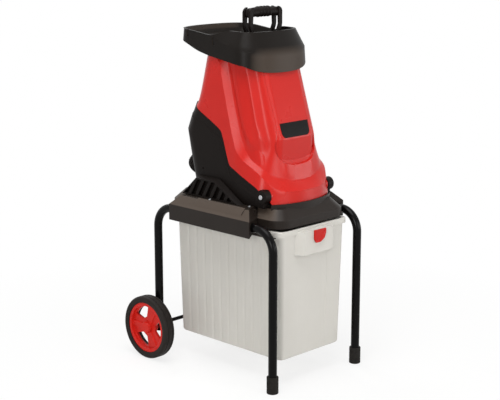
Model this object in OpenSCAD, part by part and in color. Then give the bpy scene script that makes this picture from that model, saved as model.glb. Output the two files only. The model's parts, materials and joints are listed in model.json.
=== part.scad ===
// Garden shredder on a wheeled tube stand, with a collecting bin under a moulded deck.
// Millimetres, +Z up, the front faces -Y. The origin is on the ground, midway along the footprint.

/* [Stand] */
// Outer diameter of the bent leg tubes
tube_d = 22; // [18:1:26]
// Wall of the leg tubes
tube_wall = 1.5; // [1:0.25:3]
// Distance between the left and right leg tubes
leg_spacing = 316; // [310:1:330]
// Distance from the front legs to the rear legs
leg_run = 422; // [416:1:440]
// Height of the level stretch of the leg tubes
rail_z = 413; // [400:1:440]
// Bend radius of the leg tubes at their centre line
bend_r = 55; // [40:1:60]
// Outer diameter of the rubber feet
foot_d = 30; // [26:1:36]
// Height of the rubber feet
foot_h = 44; // [30:1:60]
// Rubber under the end of each front leg
foot_sole = 6; // [4:1:10]

/* [Wheels] */
// Diameter over the tyres
wheel_d = 170; // [150:2:190]
// Width of the tyres
tyre_w = 34; // [26:1:38]
// Depth of the tyres from tread to rim
tyre_t = 17; // [12:1:22]
// Gap from the leg tube to the inner side of the wheel
wheel_gap = 9; // [7:1:18]
// Diameter of the axle rod
axle_d = 10; // [8:1:12]
// Spokes in each wheel
spokes = 3; // [3:1:5]

/* [Deck] */
// Width of the deck over its side skirts
deck_w = 352; // [346:1:364]
// Length of the side skirts
deck_side_l = 294; // [280:1:304]
// Width of the nose between the legs
nose_w = 256; // [250:1:264]
// Length of the deck from the front nose to the rear nose
nose_l = 406; // [400:1:414]
// Corner radius of the noses
nose_r = 40; // [25:1:55]
// Height of the deck edge over the leg tubes' centre line
deck_rise = 21; // [17:1:26]
// Rise of the deck from its edge to its middle
deck_crown = 21; // [16:1:24]
// Depth of the side skirts
skirt_h = 46; // [40:1:52]
// Depth of the nose walls
nose_h = 25; // [20:1:30]
// Wall of the deck moulding
deck_wall = 3.5; // [2.5:0.25:5]
// Height of the collar that the chute dips into
collar_h = 9; // [6:1:12]

/* [Bin] */
// Width of the bin at its rim
bin_rim_w = 252; // [244:1:254]
// Length of the bin at its rim
bin_rim_l = 390; // [380:1:394]
// Overhang of the rim beyond the bin wall
bin_rim = 8; // [6:1:10]
// Height of the rim
bin_rim_h = 14; // [8:1:16]
// Draw-in of the bin walls from rim to floor
bin_taper = 6; // [2:1:12]
// Height of the bin floor above the ground
bin_floor_z = 66; // [50:1:90]
// Wall of the bin
bin_wall = 2.5; // [2:0.25:4]
// Corner radius of the bin
bin_r = 13; // [8:1:24]
// Depth of the grip pad on the bin front
pad_d = 19; // [12:1:20]
// Width of the grip pad
pad_w = 104; // [90:2:120]
// Height of the grip pad
pad_h = 54; // [48:1:62]

/* [Chute and housing] */
// Wall of the red chute housing
chute_wall = 3; // [2:0.25:4]
// Wall of the black motor housing
housing_wall = 4; // [3:0.25:5]
// Depth of the step between the outer skin and the tower
step_d = 12; // [8:1:14]
// Gap along the seam between the chute and the motor housing
seam_gap = 1; // [0.6:0.1:2]
// Diameter of the hinge bosses
boss_d = 34; // [28:1:36]
// Diameter of the hinge pins
hinge_pin_d = 8; // [6:1:10]
// Width of the feed hopper
hopper_w = 240; // [228:2:248]
// Side of the throat that feeds the cutter, left to right
throat_w = 168; // [150:2:176]

/* [Cutter and motor] */
// Diameter of the cutter disc
disc_d = 170; // [150:2:180]
// Thickness of the cutter disc
disc_t = 8; // [6:0.5:9]
// Diameter of the motor can
motor_d = 92; // [80:1:96]
// Length of the motor can
motor_l = 88; // [70:1:92]
// Diameter of the motor shaft
shaft_d = 14; // [10:1:16]
// Fins on the cooling fan
fan_blades = 9; // [6:1:12]

/* [Lock] */
// Diameter of the locking knob
knob_d = 66; // [50:1:70]
// Length of the locking knob
knob_l = 52; // [36:1:56]
// Ribs around the locking knob
knob_ribs = 24; // [12:2:36]
// Diameter of the lock spindle
spindle_d = 10; // [8:1:12]

/* [Pusher] */
// Width of the pusher handle
handle_w = 118; // [112:1:126]
// Diameter of the pusher grip
grip_d = 28; // [24:1:30]
// Clear height of the finger gap
finger_gap = 57.5; // [50:0.5:62]
// Width of the pusher blade
blade_w = 90; // [80:1:96]
// Thickness of the pusher blade
blade_t = 26; // [20:1:28]

/* [Switch] */
// Width of the switch box along the machine
switch_l = 72; // [64:1:84]
// Height of the switch box
switch_h = 62; // [58:1:70]
// Depth of the switch box
switch_d = 24; // [20:1:28]
// Diameter of the push buttons
button_d = 18; // [14:1:20]

/* [Fits] */
// Running clearance around shafts and pins
run_gap = 0.05; // [0.02:0.01:0.1]
// Clearance between sliding or nested pieces
slide_gap = 0.5; // [0.3:0.1:0.8]
// Clearance between seated pieces
seat_gap = 0.1; // [0.05:0.05:0.2]

/* [Hidden] */
$fn = 48;
red = "#c8281f";
black = "#26211f";
steel = "#b9bcc0";
leg_x = leg_spacing / 2;
tube_r = tube_d / 2;
wheel_r = wheel_d / 2;
front_y = -(leg_run + wheel_r - foot_d / 2) / 2;
wheel_in = leg_x + tube_r + wheel_gap;
wheel_out = wheel_in + tyre_w;
hub_r = axle_d / 2 + 12;
rim_r = wheel_r - tyre_t;
rim_t = 9;
rim_in = tyre_w / 2 - 4;
web_t = 8;
mid_y = leg_run / 2;
edge_z = rail_z + deck_rise;
top_z = edge_z + deck_crown;
skirt_z = edge_z - skirt_h;
nose_z = edge_z - nose_h;
bevel = 4;
slope_in = 22;
deck_lap = 4;
crown = 0.5;
pad_in = 32;
pad_rise = 1.2;
notch_in = 18;
saddle_t = 5;
bolt_r = 3;
latch_w = 42;
latch_h = 33;
runner_t = 3;
runner_gap = 4;
rim_top = nose_z - 6;
rim_low = rim_top - bin_rim_h;
runner_z = rim_low - slide_gap;
runner_x = bin_rim_w / 2 + runner_gap;
bin_x = bin_rim_w / 2 - bin_rim;
bin_y = bin_rim_l / 2 - bin_rim / 2;
bin_c = mid_y - 10;
cut_tilt = 43;
hinge = [-139.4, 28.4];
hinge_in = 106;
hinge_out = 127;
ear_in = 92;
disc_s = 157;
disc_n = -12;
plate_n = -30;
plate_t = 6;
flange_h = 26;
lock_s = 271;
lock_tip = 10;
bar_low = 0;
bar_high = 18;
knob_near = -186;
boss_far = knob_near + 3;
corner_r = 40;
rear_r = 45;
lip_c = -119;
lip = [126, 65];
hole_margin = 12;
collar_back = hinge[0] - boss_d / 2 - 1;
collar_gap = 1.5;
chute_top = 374;
throat = [-68, 58];
spout_low = 328;
pusher_y = -20;
guide_h = 390;
guide_t = 4;
hopper_lean = 2.5;
hopper_front = -98;
hopper_rear = 182;
hopper_round = 50;
hopper_power = 0.7;
floor_in = 11.5;
floor_t = 5;
throat_round = 24;
stop_t = 5;
handle_low = guide_h + guide_t + slide_gap + stop_t;
grip_h = handle_low + finger_gap + grip_d / 2;

// Outline tables: position along the machine or height above the deck against the size there.
seam_line = [[-160, 1], [-152, 12], [-139, 31], [-128, 46], [-65, 74], [-26, 94], [-8, 143], [6, 177],
    [42, 198], [90, 221], [128, 240]];
ledge_line = [[-190, 36], [-163, 39], [-127, 69], [-69, 103], [-49, 119], [-33, 172], [-17, 221],
    [2, 282], [22, 351], [32, 386]];
lean_line = [[-190, 2], [-160, 6], [-119, 8], [-69, 4], [-49, 0]];
band_line = [[-149, 82], [-136, 90], [-73, 129], [-54, 152], [-41, 197], [-16, 270], [5, 343], [17, 386]];
side_line = [[0, 122], [60, 126], [105, 126], [374, 111.2]];
front_line = [[82, -147], [97, -142], [164, -141], [202, -129], [321, -92], [374, -75.7]];
corner_line = [[82, -164], [97, -159], [130, -149], [164, -140], [202, -129], [321, -92], [374, -75.7]];
spread_line = [[97, 2.1], [130, 1.6], [202, 1]];
panel_line = [[82, 36], [97, 42], [125, 50], [202, 54], [325, 65], [374, 67.7]];
chute_rear = [[215, 128], [229, 125], [246, 112], [374, 86.2]];
housing_rear = [[0, 117], [45, 125], [102, 138], [140, 149], [160, 157], [179, 153], [206, 142], [231,
    129]];
hopper_low = [[-98, 324], [-65, 344], [6, 356], [53, 363], [97, 373], [134, 389], [182, 402]];
hopper_mid = [[-98, 376], [-47, 384], [14, 399], [39, 410], [89, 418], [133, 423], [182, 426]];
hopper_rim = [[-98, 425], [14, 427], [37, 412], [89, 419], [133, 424], [182, 427]];
hopper_floor = [[-98, 385], [-47, 387], [14, 390], [39, 393], [89, 398], [133, 403], [182, 409]];
hood_in = [[-98, 28], [-47, 24], [14, 20], [37, 1]];

function mix(a, b, t) = a + (b - a) * t;

// Full ring from the right half of an outline that runs from the front centre to the rear centre
function both_sides(half) = concat(half, [
    for (i = [len(half) - 2 : -1 : 1]) [-half[i][0], half[i][1], half[i][2]]
]);

// Right half of an oval that is squarer at a smaller power
function half_oval(a, front, front_c, rear_c, rear, power) = concat(
    [for (t = [0 : 11.25 : 90]) [a * pow(sin(t), power), front_c - (front_c - front) * pow(cos(t),
        power)]],
    [for (k = [1 : 3]) [a, mix(front_c, rear_c, k / 4)]],
    [for (t = [0 : 15 : 90]) [a * pow(cos(t), power), rear_c + (rear - rear_c) * pow(sin(t), power)]]
);

// Triangles between ring k and ring j of n points
function band(k, j, n) = [
    for (i = [0 : n - 1]) for (f = [[k * n + i, j * n + i, j * n + (i + 1) % n],
        [k * n + i, j * n + (i + 1) % n, k * n + (i + 1) % n]]) f
];

// Solid skin through rings, from the first ring's cap to the last ring's cap
module skin(rings) {
    n = len(rings[0]);
    m = len(rings);
    polyhedron(
        points = [for (r = rings) for (p = r) p],
        faces = concat([[for (i = [0 : n - 1]) i]], [for (k = [0 : m - 2]) for (f = band(k, k + 1, n)) f],
            [[for (i = [n - 1 : -1 : 0]) (m - 1) * n + i]])
    );
}

// Shell whose rings lead up the outside and down the inside and meet again
module shell(rings) {
    n = len(rings[0]);
    m = len(rings);
    polyhedron(
        points = [for (r = rings) for (p = r) p],
        faces = [for (k = [0 : m - 1]) for (f = band(k, (k + 1) % m, n)) f]
    );
}

module from_front_legs() {
    translate([0, front_y, 0]) children();
}

module on_deck() {
    translate([0, front_y + mid_y, top_z]) children();
}

// Frame of the cutting plane: y runs up the plane from the hinge, z stands off it
module on_cut() {
    on_deck() translate([0, hinge[0], hinge[1]]) rotate([cut_tilt, 0, 0]) children();
}

// Frame with its origin on the hinge line, on both sides
module at_hinge() {
    on_deck() both() translate([0, hinge[0], hinge[1]]) children();
}

module both() {
    children();
    mirror([1, 0, 0]) children();
}

// Bar along X from x1 to x2
module cross_bar(x1, x2, r) {
    translate([x1, 0, 0]) rotate([0, 90, 0]) cylinder(h = x2 - x1, r = r);
}

// Stand

module tube_straight(l) {
    difference() {
        cylinder(h = l, r = tube_r);
        translate([0, 0, -1]) cylinder(h = l + 2, r = tube_r - tube_wall);
    }
}

// Quarter bend that starts at the origin along +Z and turns to +Y
module tube_bend() {
    translate([0, bend_r, 0]) rotate([0, -90, 0]) rotate([0, 0, -90]) rotate_extrude(angle = 90)
        translate([bend_r, 0]) difference() {
            circle(r = tube_r);
            circle(r = tube_r - tube_wall);
        }
}

module leg_tube() {
    rear_low = wheel_r - tube_r - 6;
    difference() {
        union() {
            translate([0, 0, foot_sole]) tube_straight(rail_z - bend_r - foot_sole);
            translate([0, 0, rail_z - bend_r]) tube_bend();
            translate([0, bend_r, rail_z]) rotate([-90, 0, 0]) tube_straight(leg_run - 2 * bend_r);
            translate([0, leg_run, rail_z - bend_r]) mirror([0, 1, 0]) tube_bend();
            translate([0, leg_run, rear_low]) tube_straight(rail_z - bend_r - rear_low);
        }
        translate([0, leg_run, wheel_r]) cross_bar(-tube_d, tube_d, axle_d / 2 + run_gap);
        for (y = [-1, 1]) translate([0, mid_y + y * deck_side_l / 4,
            rail_z - tube_d]) cylinder(h = 2 * tube_d, r = bolt_r + seat_gap);
    }
}

module left_leg() {
    color("#141414") from_front_legs() translate([-leg_x, 0, 0]) leg_tube();
}

module right_leg() {
    color("#141414") from_front_legs() translate([leg_x, 0, 0]) leg_tube();
}

module rubber_feet() {
    color("#1c1c1c") from_front_legs() both() translate([leg_x, 0, 0]) difference() {
        rotate_extrude() polygon([[0, 0], [foot_d / 2 - 1.5, 0], [foot_d / 2, 1.5],
            [foot_d / 2, foot_h - 1], [foot_d / 2 - 1, foot_h], [0, foot_h]]);
        translate([0, 0, foot_sole]) cylinder(h = foot_h, r = tube_r + seat_gap);
    }
}

module at_leg_bolts() {
    both() for (y = [-1, 1]) translate([leg_x, mid_y + y * deck_side_l / 4, rail_z]) children();
}

module leg_bolts() {
    color(steel) from_front_legs() at_leg_bolts() {
        translate([0, 0, -tube_r - 5]) cylinder(h = 5 - seat_gap, r = bolt_r + 3);
        translate([0, 0, -tube_r - 1]) cylinder(h = tube_d + 9, r = bolt_r);
    }
}

module axle() {
    color(steel) from_front_legs() translate([0, leg_run, wheel_r]) cross_bar(-wheel_out + 6,
        wheel_out - 6, axle_d / 2);
}

// Window between two spokes, seen along the axle
module wheel_window() {
    half = 180 / spokes - 30;
    r_in = hub_r + 11;
    r_out = rim_r - rim_t - 3;
    polygon(concat([for (t = [-half : half / 4 : half]) r_out * [cos(t), sin(t)]],
        [r_in * [cos(half * 0.6), sin(half * 0.6)]],
        [r_in * [cos(half * 0.6), -sin(half * 0.6)]]));
}

// Wheel with its axis along X, drawn from its inner side at x = 0
module wheel_rim() {
    rib_w = 14;
    difference() {
        union() {
            difference() {
                cross_bar(rim_in, tyre_w - 4, rim_r);
                cross_bar(0, tyre_w, rim_r - rim_t);
            }
            cross_bar(0, tyre_w - 5, hub_r);
            difference() {
                cross_bar(rim_in, rim_in + web_t, rim_r - rim_t / 2);
                for (k = [0 : spokes - 1]) rotate([60 + k * 360 / spokes, 0,
                    0]) linear_extrude_x(tyre_w) wheel_window();
            }
            for (k = [0 : spokes - 1]) rotate([k * 360 / spokes, 0, 0])
                translate([rim_in + 2, 0, -rib_w / 2]) cube([web_t + 1, rim_r - rim_t / 2, rib_w]);
        }
        cross_bar(-1, tyre_w, axle_d / 2 + run_gap);
    }
}

// Extrusion along +X of a profile in Y and Z
module linear_extrude_x(l) {
    rotate([90, 0, 90]) linear_extrude(l) children();
}

module wheel_tyre() {
    tread = 3;
    barrel_r = rim_r - rim_t;
    barrel_x = rim_in - seat_gap;
    rotate([0, 90, 0]) rotate_extrude($fn = 96) polygon([[barrel_r, 2], [wheel_r - tread - 2, 0],
        [wheel_r - tread, 1], [wheel_r, tread + 1], [wheel_r, tyre_w - tread - 1],
        [wheel_r - tread, tyre_w - 1], [wheel_r - tread - 2, tyre_w], [rim_r + seat_gap, tyre_w - 2],
        [rim_r + seat_gap, barrel_x], [barrel_r, barrel_x]]);
}

module at_wheel(side) {
    from_front_legs() translate([0, leg_run, wheel_r]) mirror([side < 0 ? 1 : 0, 0,
        0]) translate([wheel_in, 0, 0]) children();
}

module left_rim() {
    color(red) at_wheel(-1) wheel_rim();
}

module right_rim() {
    color(red) at_wheel(1) wheel_rim();
}

module left_tyre() {
    color("#1b1a19") at_wheel(-1) wheel_tyre();
}

module right_tyre() {
    color("#1b1a19") at_wheel(1) wheel_tyre();
}

module hub_cap() {
    translate([tyre_w - 5 + seat_gap, 0, 0]) rotate([0, 90, 0]) difference() {
        cylinder(h = 4, r1 = hub_r - 1, r2 = hub_r - 3);
        translate([0, 0, -1]) cylinder(h = 3, r = axle_d / 2 + slide_gap);
    }
}

module left_hub_cap() {
    color(red) at_wheel(-1) hub_cap();
}

module right_hub_cap() {
    color(red) at_wheel(1) hub_cap();
}

// Deck

// Deck outline drawn in by a distance, at one height round the noses and another along the sides
function deck_ring(d, z, side_z) = both_sides([for (p = concat(
    [[0, -nose_l / 2 + d]],
    [for (t = [0 : 15 : 90]) [nose_w / 2 - nose_r + (nose_r - d / 2) * sin(t) - d / 2,
        -nose_l / 2 + nose_r + d / 2 - (nose_r - d / 2) * cos(t)]],
    [[nose_w / 2 - d, -deck_side_l / 2 + notch_in + d], [deck_w / 2 - d, -deck_side_l / 2 + d],
        [deck_w / 2 - d, deck_side_l / 2 - d], [nose_w / 2 - d, deck_side_l / 2 - notch_in - d]],
    [for (t = [90 : -15 : 0]) [nose_w / 2 - nose_r + (nose_r - d / 2) * sin(t) - d / 2,
        nose_l / 2 - nose_r - d / 2 + (nose_r - d / 2) * cos(t)]],
    [[0, nose_l / 2 - d]])) [p[0], p[1] + mid_y, p[0] > nose_w / 2 ? side_z : z]]);

// Plan of the deck drawn in by a distance
module deck_plan(d) {
    polygon([for (p = deck_ring(d, 0, 0)) [p[0], p[1]]]);
}

// Skirt and sloped shoulder round the deck, with a ledge that the top plate lies in
module deck_skirt() {
    w = deck_wall;
    ledge_z = top_z - 2;
    level = function (d, z) deck_ring(d, z, z);
    shell([deck_ring(0, nose_z, skirt_z), level(0, edge_z - bevel), level(bevel, edge_z),
        level(slope_in, ledge_z),
        level(slope_in + deck_lap, ledge_z), level(slope_in + deck_lap, ledge_z - w), level(slope_in,
            ledge_z - w),
        level(bevel + w, edge_z - w), level(w, edge_z - bevel - w), deck_ring(w, nose_z, skirt_z)]);
}

// Front half of an ellipse closed at the rear, around the chute's lip
module lip_outline(d, rear) {
    polygon(concat([for (t = [-90 : 7.5 : 90]) [(lip[0] + d) * sin(t), lip_c - (lip[1] + d) * cos(t)]],
        [[lip[0] + d, rear], [-lip[0] - d, rear]]));
}

module discharge_hole() {
    hole_w = hinge_in - 3;
    intersection() {
        lip_outline(collar_gap, 10);
        translate([0, -mid_y]) deck_plan(hole_margin);
        union() {
            translate([-hole_w, collar_back - 1]) square([2 * hole_w, 200]);
            translate([-lip[0], collar_back - 100]) square([2 * lip[0], 100]);
        }
    }
}

// Part of the collar's plan in front of the hinge bosses
module collar_plan(d) {
    intersection() {
        lip_outline(collar_gap + d, 10);
        translate([-lip[0] - 10, -250]) square([2 * lip[0] + 20, collar_back + 250]);
    }
}

// Rib over a leg tube, under the slope of the deck
module saddle() {
    in_x = runner_x + runner_t / 2;
    mid_x = leg_x - tube_r;
    out_x = deck_w / 2 - deck_wall / 2;
    rotate([90, 0, 0]) translate([0, 0, -saddle_t / 2]) linear_extrude(saddle_t)
        polygon([[in_x, rail_z], [out_x, rail_z], [out_x, edge_z - bevel - 1], [out_x - 13,
            edge_z + 5], [mid_x, top_z - 3],
            [in_x, edge_z + 3]]);
}

// Height of the sloped shoulder at a distance from the deck's edge
function shoulder(d) = mix(edge_z, top_z - 2, (d - bevel) / (slope_in - bevel));

// Raised pad along the side of the deck, over the shoulder and the edge of the flat
module deck_pad(l) {
    w = deck_w / 2;
    low = 9;
    rotate([90, 0, 0]) translate([0, 0, -l / 2]) linear_extrude(l) polygon([[w - pad_in - 2, top_z - 1.6],
        [w - pad_in, top_z + pad_rise], [w - slope_in - 1, top_z + pad_rise],
        [w - low, shoulder(low) + 2.4], [w - low + 1.5, shoulder(low - 1.5) - 1.2],
        [w - slope_in, top_z - 4]]);
}

module base_deck() {
    hang_l = deck_side_l - 40;
    slide_l = bin_rim_l - 40;
    color(black) from_front_legs() difference() {
        union() {
            deck_skirt();
            translate([0, 0, top_z - deck_wall]) linear_extrude(deck_wall) deck_plan(slope_in + 1.5);
            translate([0, mid_y, edge_z + 5])
                linear_extrude(deck_crown + collar_h - 5) collar_plan(deck_wall);
            both() {
                translate([runner_x, mid_y - hang_l / 2, runner_z - runner_t / 2])
                    cube([runner_t, hang_l, top_z - deck_wall / 2 - runner_z]);
                translate([bin_x + slide_gap + 2, bin_c - slide_l / 2, runner_z - runner_t])
                    cube([runner_x + runner_t / 2 - bin_x, slide_l, runner_t]);
                for (y = [-1, 0, 1]) translate([0, mid_y + y * deck_side_l / 3, 0]) saddle();
                for (y = [-1, 1]) translate([leg_x, mid_y + y * deck_side_l / 4, rail_z])
                    cylinder(h = deck_rise + 6, r = bolt_r + 5);
                translate([0, mid_y - 25, 0]) deck_pad(deck_side_l * 0.58);
            }
        }
        translate([0, mid_y, skirt_z - 1]) linear_extrude(200) discharge_hole();
        both() translate([leg_x, mid_y, rail_z]) rotate([90, 0, 0])
            cylinder(h = leg_run, r = tube_r + seat_gap, center = true);
        both() for (y = [-1, 1]) translate([leg_x, mid_y + y * deck_side_l / 4, rail_z])
            cylinder(h = tube_r + 9, r = bolt_r + seat_gap);
    }
}

module deck_screws() {
    screw_r = 4;
    color(steel) on_deck() both() for (p = [[hinge_out + screw_r, hinge[0] + 36, 0],
        [deck_w / 2 - pad_in + screw_r + 1, 20, pad_rise]])
        translate([p[0], p[1], p[2] + seat_gap]) cylinder(h = 2, r1 = screw_r, r2 = screw_r - 1);
}

// Bin

// Bin outline at a height, with shallow upright flutes along its sides
function bin_ring(d, z, flute = 0) = let (x = bin_x - d, y = bin_y - (d < 0 ? d / 2 : d),
    r = bin_r) both_sides([for (p = concat(
    [[0, -y - crown]],
    [for (t = [0 : 22.5 : 90]) [x - r + r * sin(t), -y + r - r * cos(t)]],
    [for (k = [0 : 11]) [x - (k % 4 < 2 ? 0 : flute), mix(-y + r + 10, y - r - 10, k / 11)]],
    [for (t = [90 : -22.5 : 0]) [x - r + r * sin(t), y - r + r * cos(t)]],
    [[0, y + crown]])) [p[0], p[1] + bin_c, z]]);

// Plan of the grip pad, wider at the bin than at its face
module pad_plan(d) {
    polygon([[-pad_w / 2 + d, d], [pad_w / 2 - d, d], [pad_w / 2 + pad_d - d, pad_d + 2],
        [-pad_w / 2 - pad_d + d, pad_d + 2]]);
}

module bin() {
    flute = 2.5;
    foot_in = 3;
    wall_top = rim_low - 14;
    color("#d8d6d2", 0.9) from_front_legs() {
        skin([bin_ring(bin_taper + foot_in, bin_floor_z), bin_ring(bin_taper, bin_floor_z + 6, flute),
            bin_ring(0, wall_top, flute),
            bin_ring(0, rim_low), bin_ring(-bin_rim, rim_low), bin_ring(-bin_rim, rim_top),
                bin_ring(bin_wall, rim_top),
            bin_ring(bin_wall, wall_top, flute), bin_ring(bin_taper + bin_wall,
                bin_floor_z + 6 + bin_wall, flute),
            bin_ring(bin_taper + foot_in + bin_wall, bin_floor_z + bin_wall)]);
        translate([0, bin_c - bin_y - pad_d, rim_low - pad_h]) difference() {
            linear_extrude(pad_h + bin_rim_h / 2) pad_plan(0);
            translate([0, 0, -1]) linear_extrude(pad_h - 8) pad_plan(bin_wall);
        }
    }
}

// Front of the latch, flat on top with a rounded lower right corner, drawn in by a distance
module latch_profile(d) {
    x = latch_w / 2 - d;
    low = d - latch_h;
    polygon([[-x, -d], [-x, low + 9], [6 - x, low], [x - 20, low], [x - 6, low + 8], [x, low + 21], [x,
        -d]]);
}

module bin_latch() {
    color(red) from_front_legs() translate([0, bin_c - bin_y - pad_d - slide_gap,
        rim_low + 7]) rotate([90, 0, 0])
        difference() {
            linear_extrude(5) latch_profile(0);
            translate([0, 0, 3]) linear_extrude(4) latch_profile(4);
        }
}

module bin_switch() {
    color(black) from_front_legs() translate([-11, mid_y - nose_l / 2 + deck_wall + seat_gap, nose_z + 2])
        cube([22, 18, nose_h - bevel - deck_wall - 3]);
}

// Lower unit

side_stations = [-112, -90, -66, -49, -40, -33, -26, -17, -8, 2, 7, 14, 22, 34];

// Point of the housing's outline at a height: along the side, then round the rear corner
function housing_side(y, h, d) = [lookup(h, side_line) - d, y, h];
function housing_corner(t, h, d) = let (r = lookup(h, housing_rear), x = lookup(h, side_line))
    [t >= 90 ? 0 : x - rear_r + (rear_r - d) * cos(t), r - rear_r + (rear_r - d) * sin(t), h];

// Row of the wall: a share of the height below the seam flange, a rise into the flange and a draw-in
function housing_row(row) = let (
        d = row[2], up = function (y) row[0] * (lookup(y, seam_line) - flange_h) + row[1],
        half = concat(
            [for (y = concat([hinge[0] + 8], side_stations, [66])) housing_side(y, up(y), d)],
            [for (t = [0 : 15 : 90]) housing_corner(t, up(87 + rear_r * sin(t)), d)]))
    concat(half, [for (i = [len(half) - 2 : -1 : 0]) [-half[i][0], half[i][1], half[i][2]]]);

// Wall that runs back along one arm, round the rear and forward along the other
module housing_wall_skin() {
    brim = flange_h - seam_gap;
    step = 1.5;
    w = housing_wall;
    rows = [for (row = [[0, 0.1, 0], [0.25, 0, 0], [0.55, 0, 0], [0.8, 0, 0], [1, 0, 0], [1, 1, step],
        [1, brim, step],
        [1, brim, w], [0.8, 0, w], [0.55, 0, w], [0.25, 0, w], [0, 0.1, w]]) housing_row(row)];
    n = len(rows[0]);
    m = len(rows);
    polyhedron(
        points = [for (r = rows) for (p = r) p],
        faces = concat(
            [for (k = [0 : m - 1]) for (i = [0 : n - 2]) let (j = (k + 1) % m)
                for (f = [[k * n + i, j * n + i, j * n + i + 1], [k * n + i, j * n + i + 1,
                    k * n + i + 1]]) f],
            [[for (k = [m - 1 : -1 : 0]) k * n]], [[for (k = [0 : m - 1]) k * n + n - 1]])
    );
}

module motor_housing() {
    foot_w = 17.5;
    foot_l = 28;
    plate_x = 119.5;
    plate_s = [96, 260];
    lock_boss_l = 80;
    lock_boss_r = 16;
    color(black) difference() {
        union() {
            on_deck() housing_wall_skin();
            at_hinge() cross_bar(hinge_in, hinge_out, boss_d / 2);
            on_deck() both() translate([hinge_in + 1, hinge[0] - 6, 0.1]) cube([foot_w, foot_l,
                hinge[1] - 4]);
            on_cut() translate([-plate_x, plate_s[0], plate_n]) cube([2 * plate_x,
                plate_s[1] - plate_s[0], plate_t]);
            on_cut() translate([0, lock_s, boss_far]) cylinder(h = lock_boss_l, r = lock_boss_r);
        }
        on_cut() translate([0, disc_s, plate_n - 1]) cylinder(h = plate_t + 2, r = shaft_d / 2 + 6);
        on_cut() translate([0, lock_s, -300]) cylinder(h = 360, r = spindle_d / 2 + run_gap);
        at_hinge() cross_bar(hinge_in - 1, hinge_out + 1, hinge_pin_d / 2 + run_gap);
    }
}

// Louvred hood against the foot of the housing, on the right
module vent_hood() {
    foot = [[-80, 0.1], [138, 0.1], [83, 54], [6, 54]];
    face = [[-72, 0.1], [132, 0.1], [79, 49], [10, 49]];
    grille = [[-60, 4], [124, 4], [77, 45], [12, 45]];
    x_in = 126.2;
    x_out = 143;
    louvre_d = 9;
    slots = 7;
    first = -45.5;
    pitch = 26;
    slot_w = 15;
    slot_lean = 28.5;
    difference() {
        skin([[for (p = foot) [x_in, p[0], p[1]]], [for (p = face) [x_out, p[0], p[1]]]]);
        translate([x_out - louvre_d, 0, 0]) linear_extrude_x(louvre_d + 1) intersection() {
            polygon(grille);
            for (k = [0 : slots - 1]) translate([first + k * pitch, 0])
                polygon([[0, 0], [slot_w, 0], [slot_w - slot_lean, 50], [-slot_lean, 50]]);
        }
    }
}

module left_vent() {
    color(black) on_deck() mirror([1, 0, 0]) vent_hood();
}

module right_vent() {
    color(black) on_deck() vent_hood();
}

module hinge_pins() {
    color(steel) at_hinge() {
        cross_bar(ear_in, hinge_out + 1, hinge_pin_d / 2);
        cross_bar(hinge_out + seat_gap, hinge_out + 3, hinge_pin_d / 2 + 2);
    }
}

// Upper unit

front_count = 8;
tower_front = [0, 0.33, 0.67, 1];
tower_corner = [[3, 4], [12, 5.5], [18, 8], [22, 12], [24, 13.5]];

// Point of the outer skin at station s and height h, drawn in by d
function outer_point(s, h, d) = let (x = lookup(h, side_line), r = lookup(h, chute_rear))
    s[0] == 0 ? [(lip[0] - d) * sin(s[1] * 90 / front_count),
        lip_c - (lip[1] - d) * cos(s[1] * 90 / front_count), h] :
    s[0] == 1 ? [x - d, s[1], h] :
    [s[1] >= 90 ? 0 : x - corner_r + (corner_r - d) * cos(s[1]),
        r - corner_r + (corner_r - d) * sin(s[1]), h];

// Point of the tower at station s and height h, drawn in by d
function tower_point(s, h, d) = let (
        x = lookup(h, side_line) - step_d, f = lookup(h, corner_line), g = lookup(h, front_line),
            p = lookup(h, panel_line),
        k = lookup(h, spread_line), q = s[0] == 0 ? tower_corner[max(0, s[1] - 4)] * k : [0, 0],
            r = lookup(h, chute_rear) - 5,
        y = max(s[1], f + 13.5 * k + 2 + 0.1 * (s[1] + 116)), in = f + 4 < g ? d : -0.6 * d)
    s[0] == 0 ? (s[1] < 4 ? [tower_front[s[1]] * p + (s[1] == 3 ? in : 0), g + d, h] :
        [p + q[0] + (s[1] == 4 ? in : -0.6 * d), f + q[1] + d, h]) :
    s[0] == 1 ? [lookup(y - f, [[13.5 * k, p + 24 * k], [48, x]]) - d, y, h] :
    [s[1] >= 90 ? 0 : x - corner_r + (corner_r - d) * cos(s[1]),
        r - corner_r + (corner_r - d) * sin(s[1]), h];

chute_stations = concat([for (k = [0 : front_count]) [0, k]], [for (y = side_stations) [1, y]],
    [for (t = [0 : 15 : 90]) [2, t]]);

// Place along the machine of a station, which its height tables are read at
function station_y(s) = s[0] == 0 ? lip_c - lip[1] * cos(s[1] * 90 / front_count) : s[0] == 1 ? s[1] :
    86 + corner_r * sin(s[1]);

function chute_ring(level, d) = both_sides([for (s = chute_stations) let (
        y = station_y(s), low = lookup(y, seam_line),
        ledge = min(lookup(y, ledge_line), chute_top - 14),
        band = max(ledge + 2, s[0] == 0 ? mix(97, 110, s[1] / front_count) : min(lookup(y, band_line),
            chute_top - 4)),
        lean = s[0] == 2 ? 0 : lookup(y, lean_line),
            flare = s[0] == 0 ? 0.16 : s[0] == 1 && s[1] < -60 ? 0.08 : 0,
        edge = outer_point(s, ledge, lean + d), foot = tower_point(s, band, d))
    level == 0 ? outer_point(s, low, d) :
    level == 1 ? outer_point(s, s[0] == 2 ? 248 : mix(low, ledge, 0.3), lean * 0.3 + d) :
    level == 2 ? edge :
    level == 3 ? [mix(edge[0], foot[0], 0.5 + flare), mix(edge[1], foot[1], 0.5 + flare), mix(ledge,
        band, 0.5 - flare)] :
    level == 4 ? foot :
    level == 5 ? tower_point(s, max(164, band + 0.8), d) :
    level == 6 ? tower_point(s, max(202, band + 1.6), d) : tower_point(s, chute_top, d)]);

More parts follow.
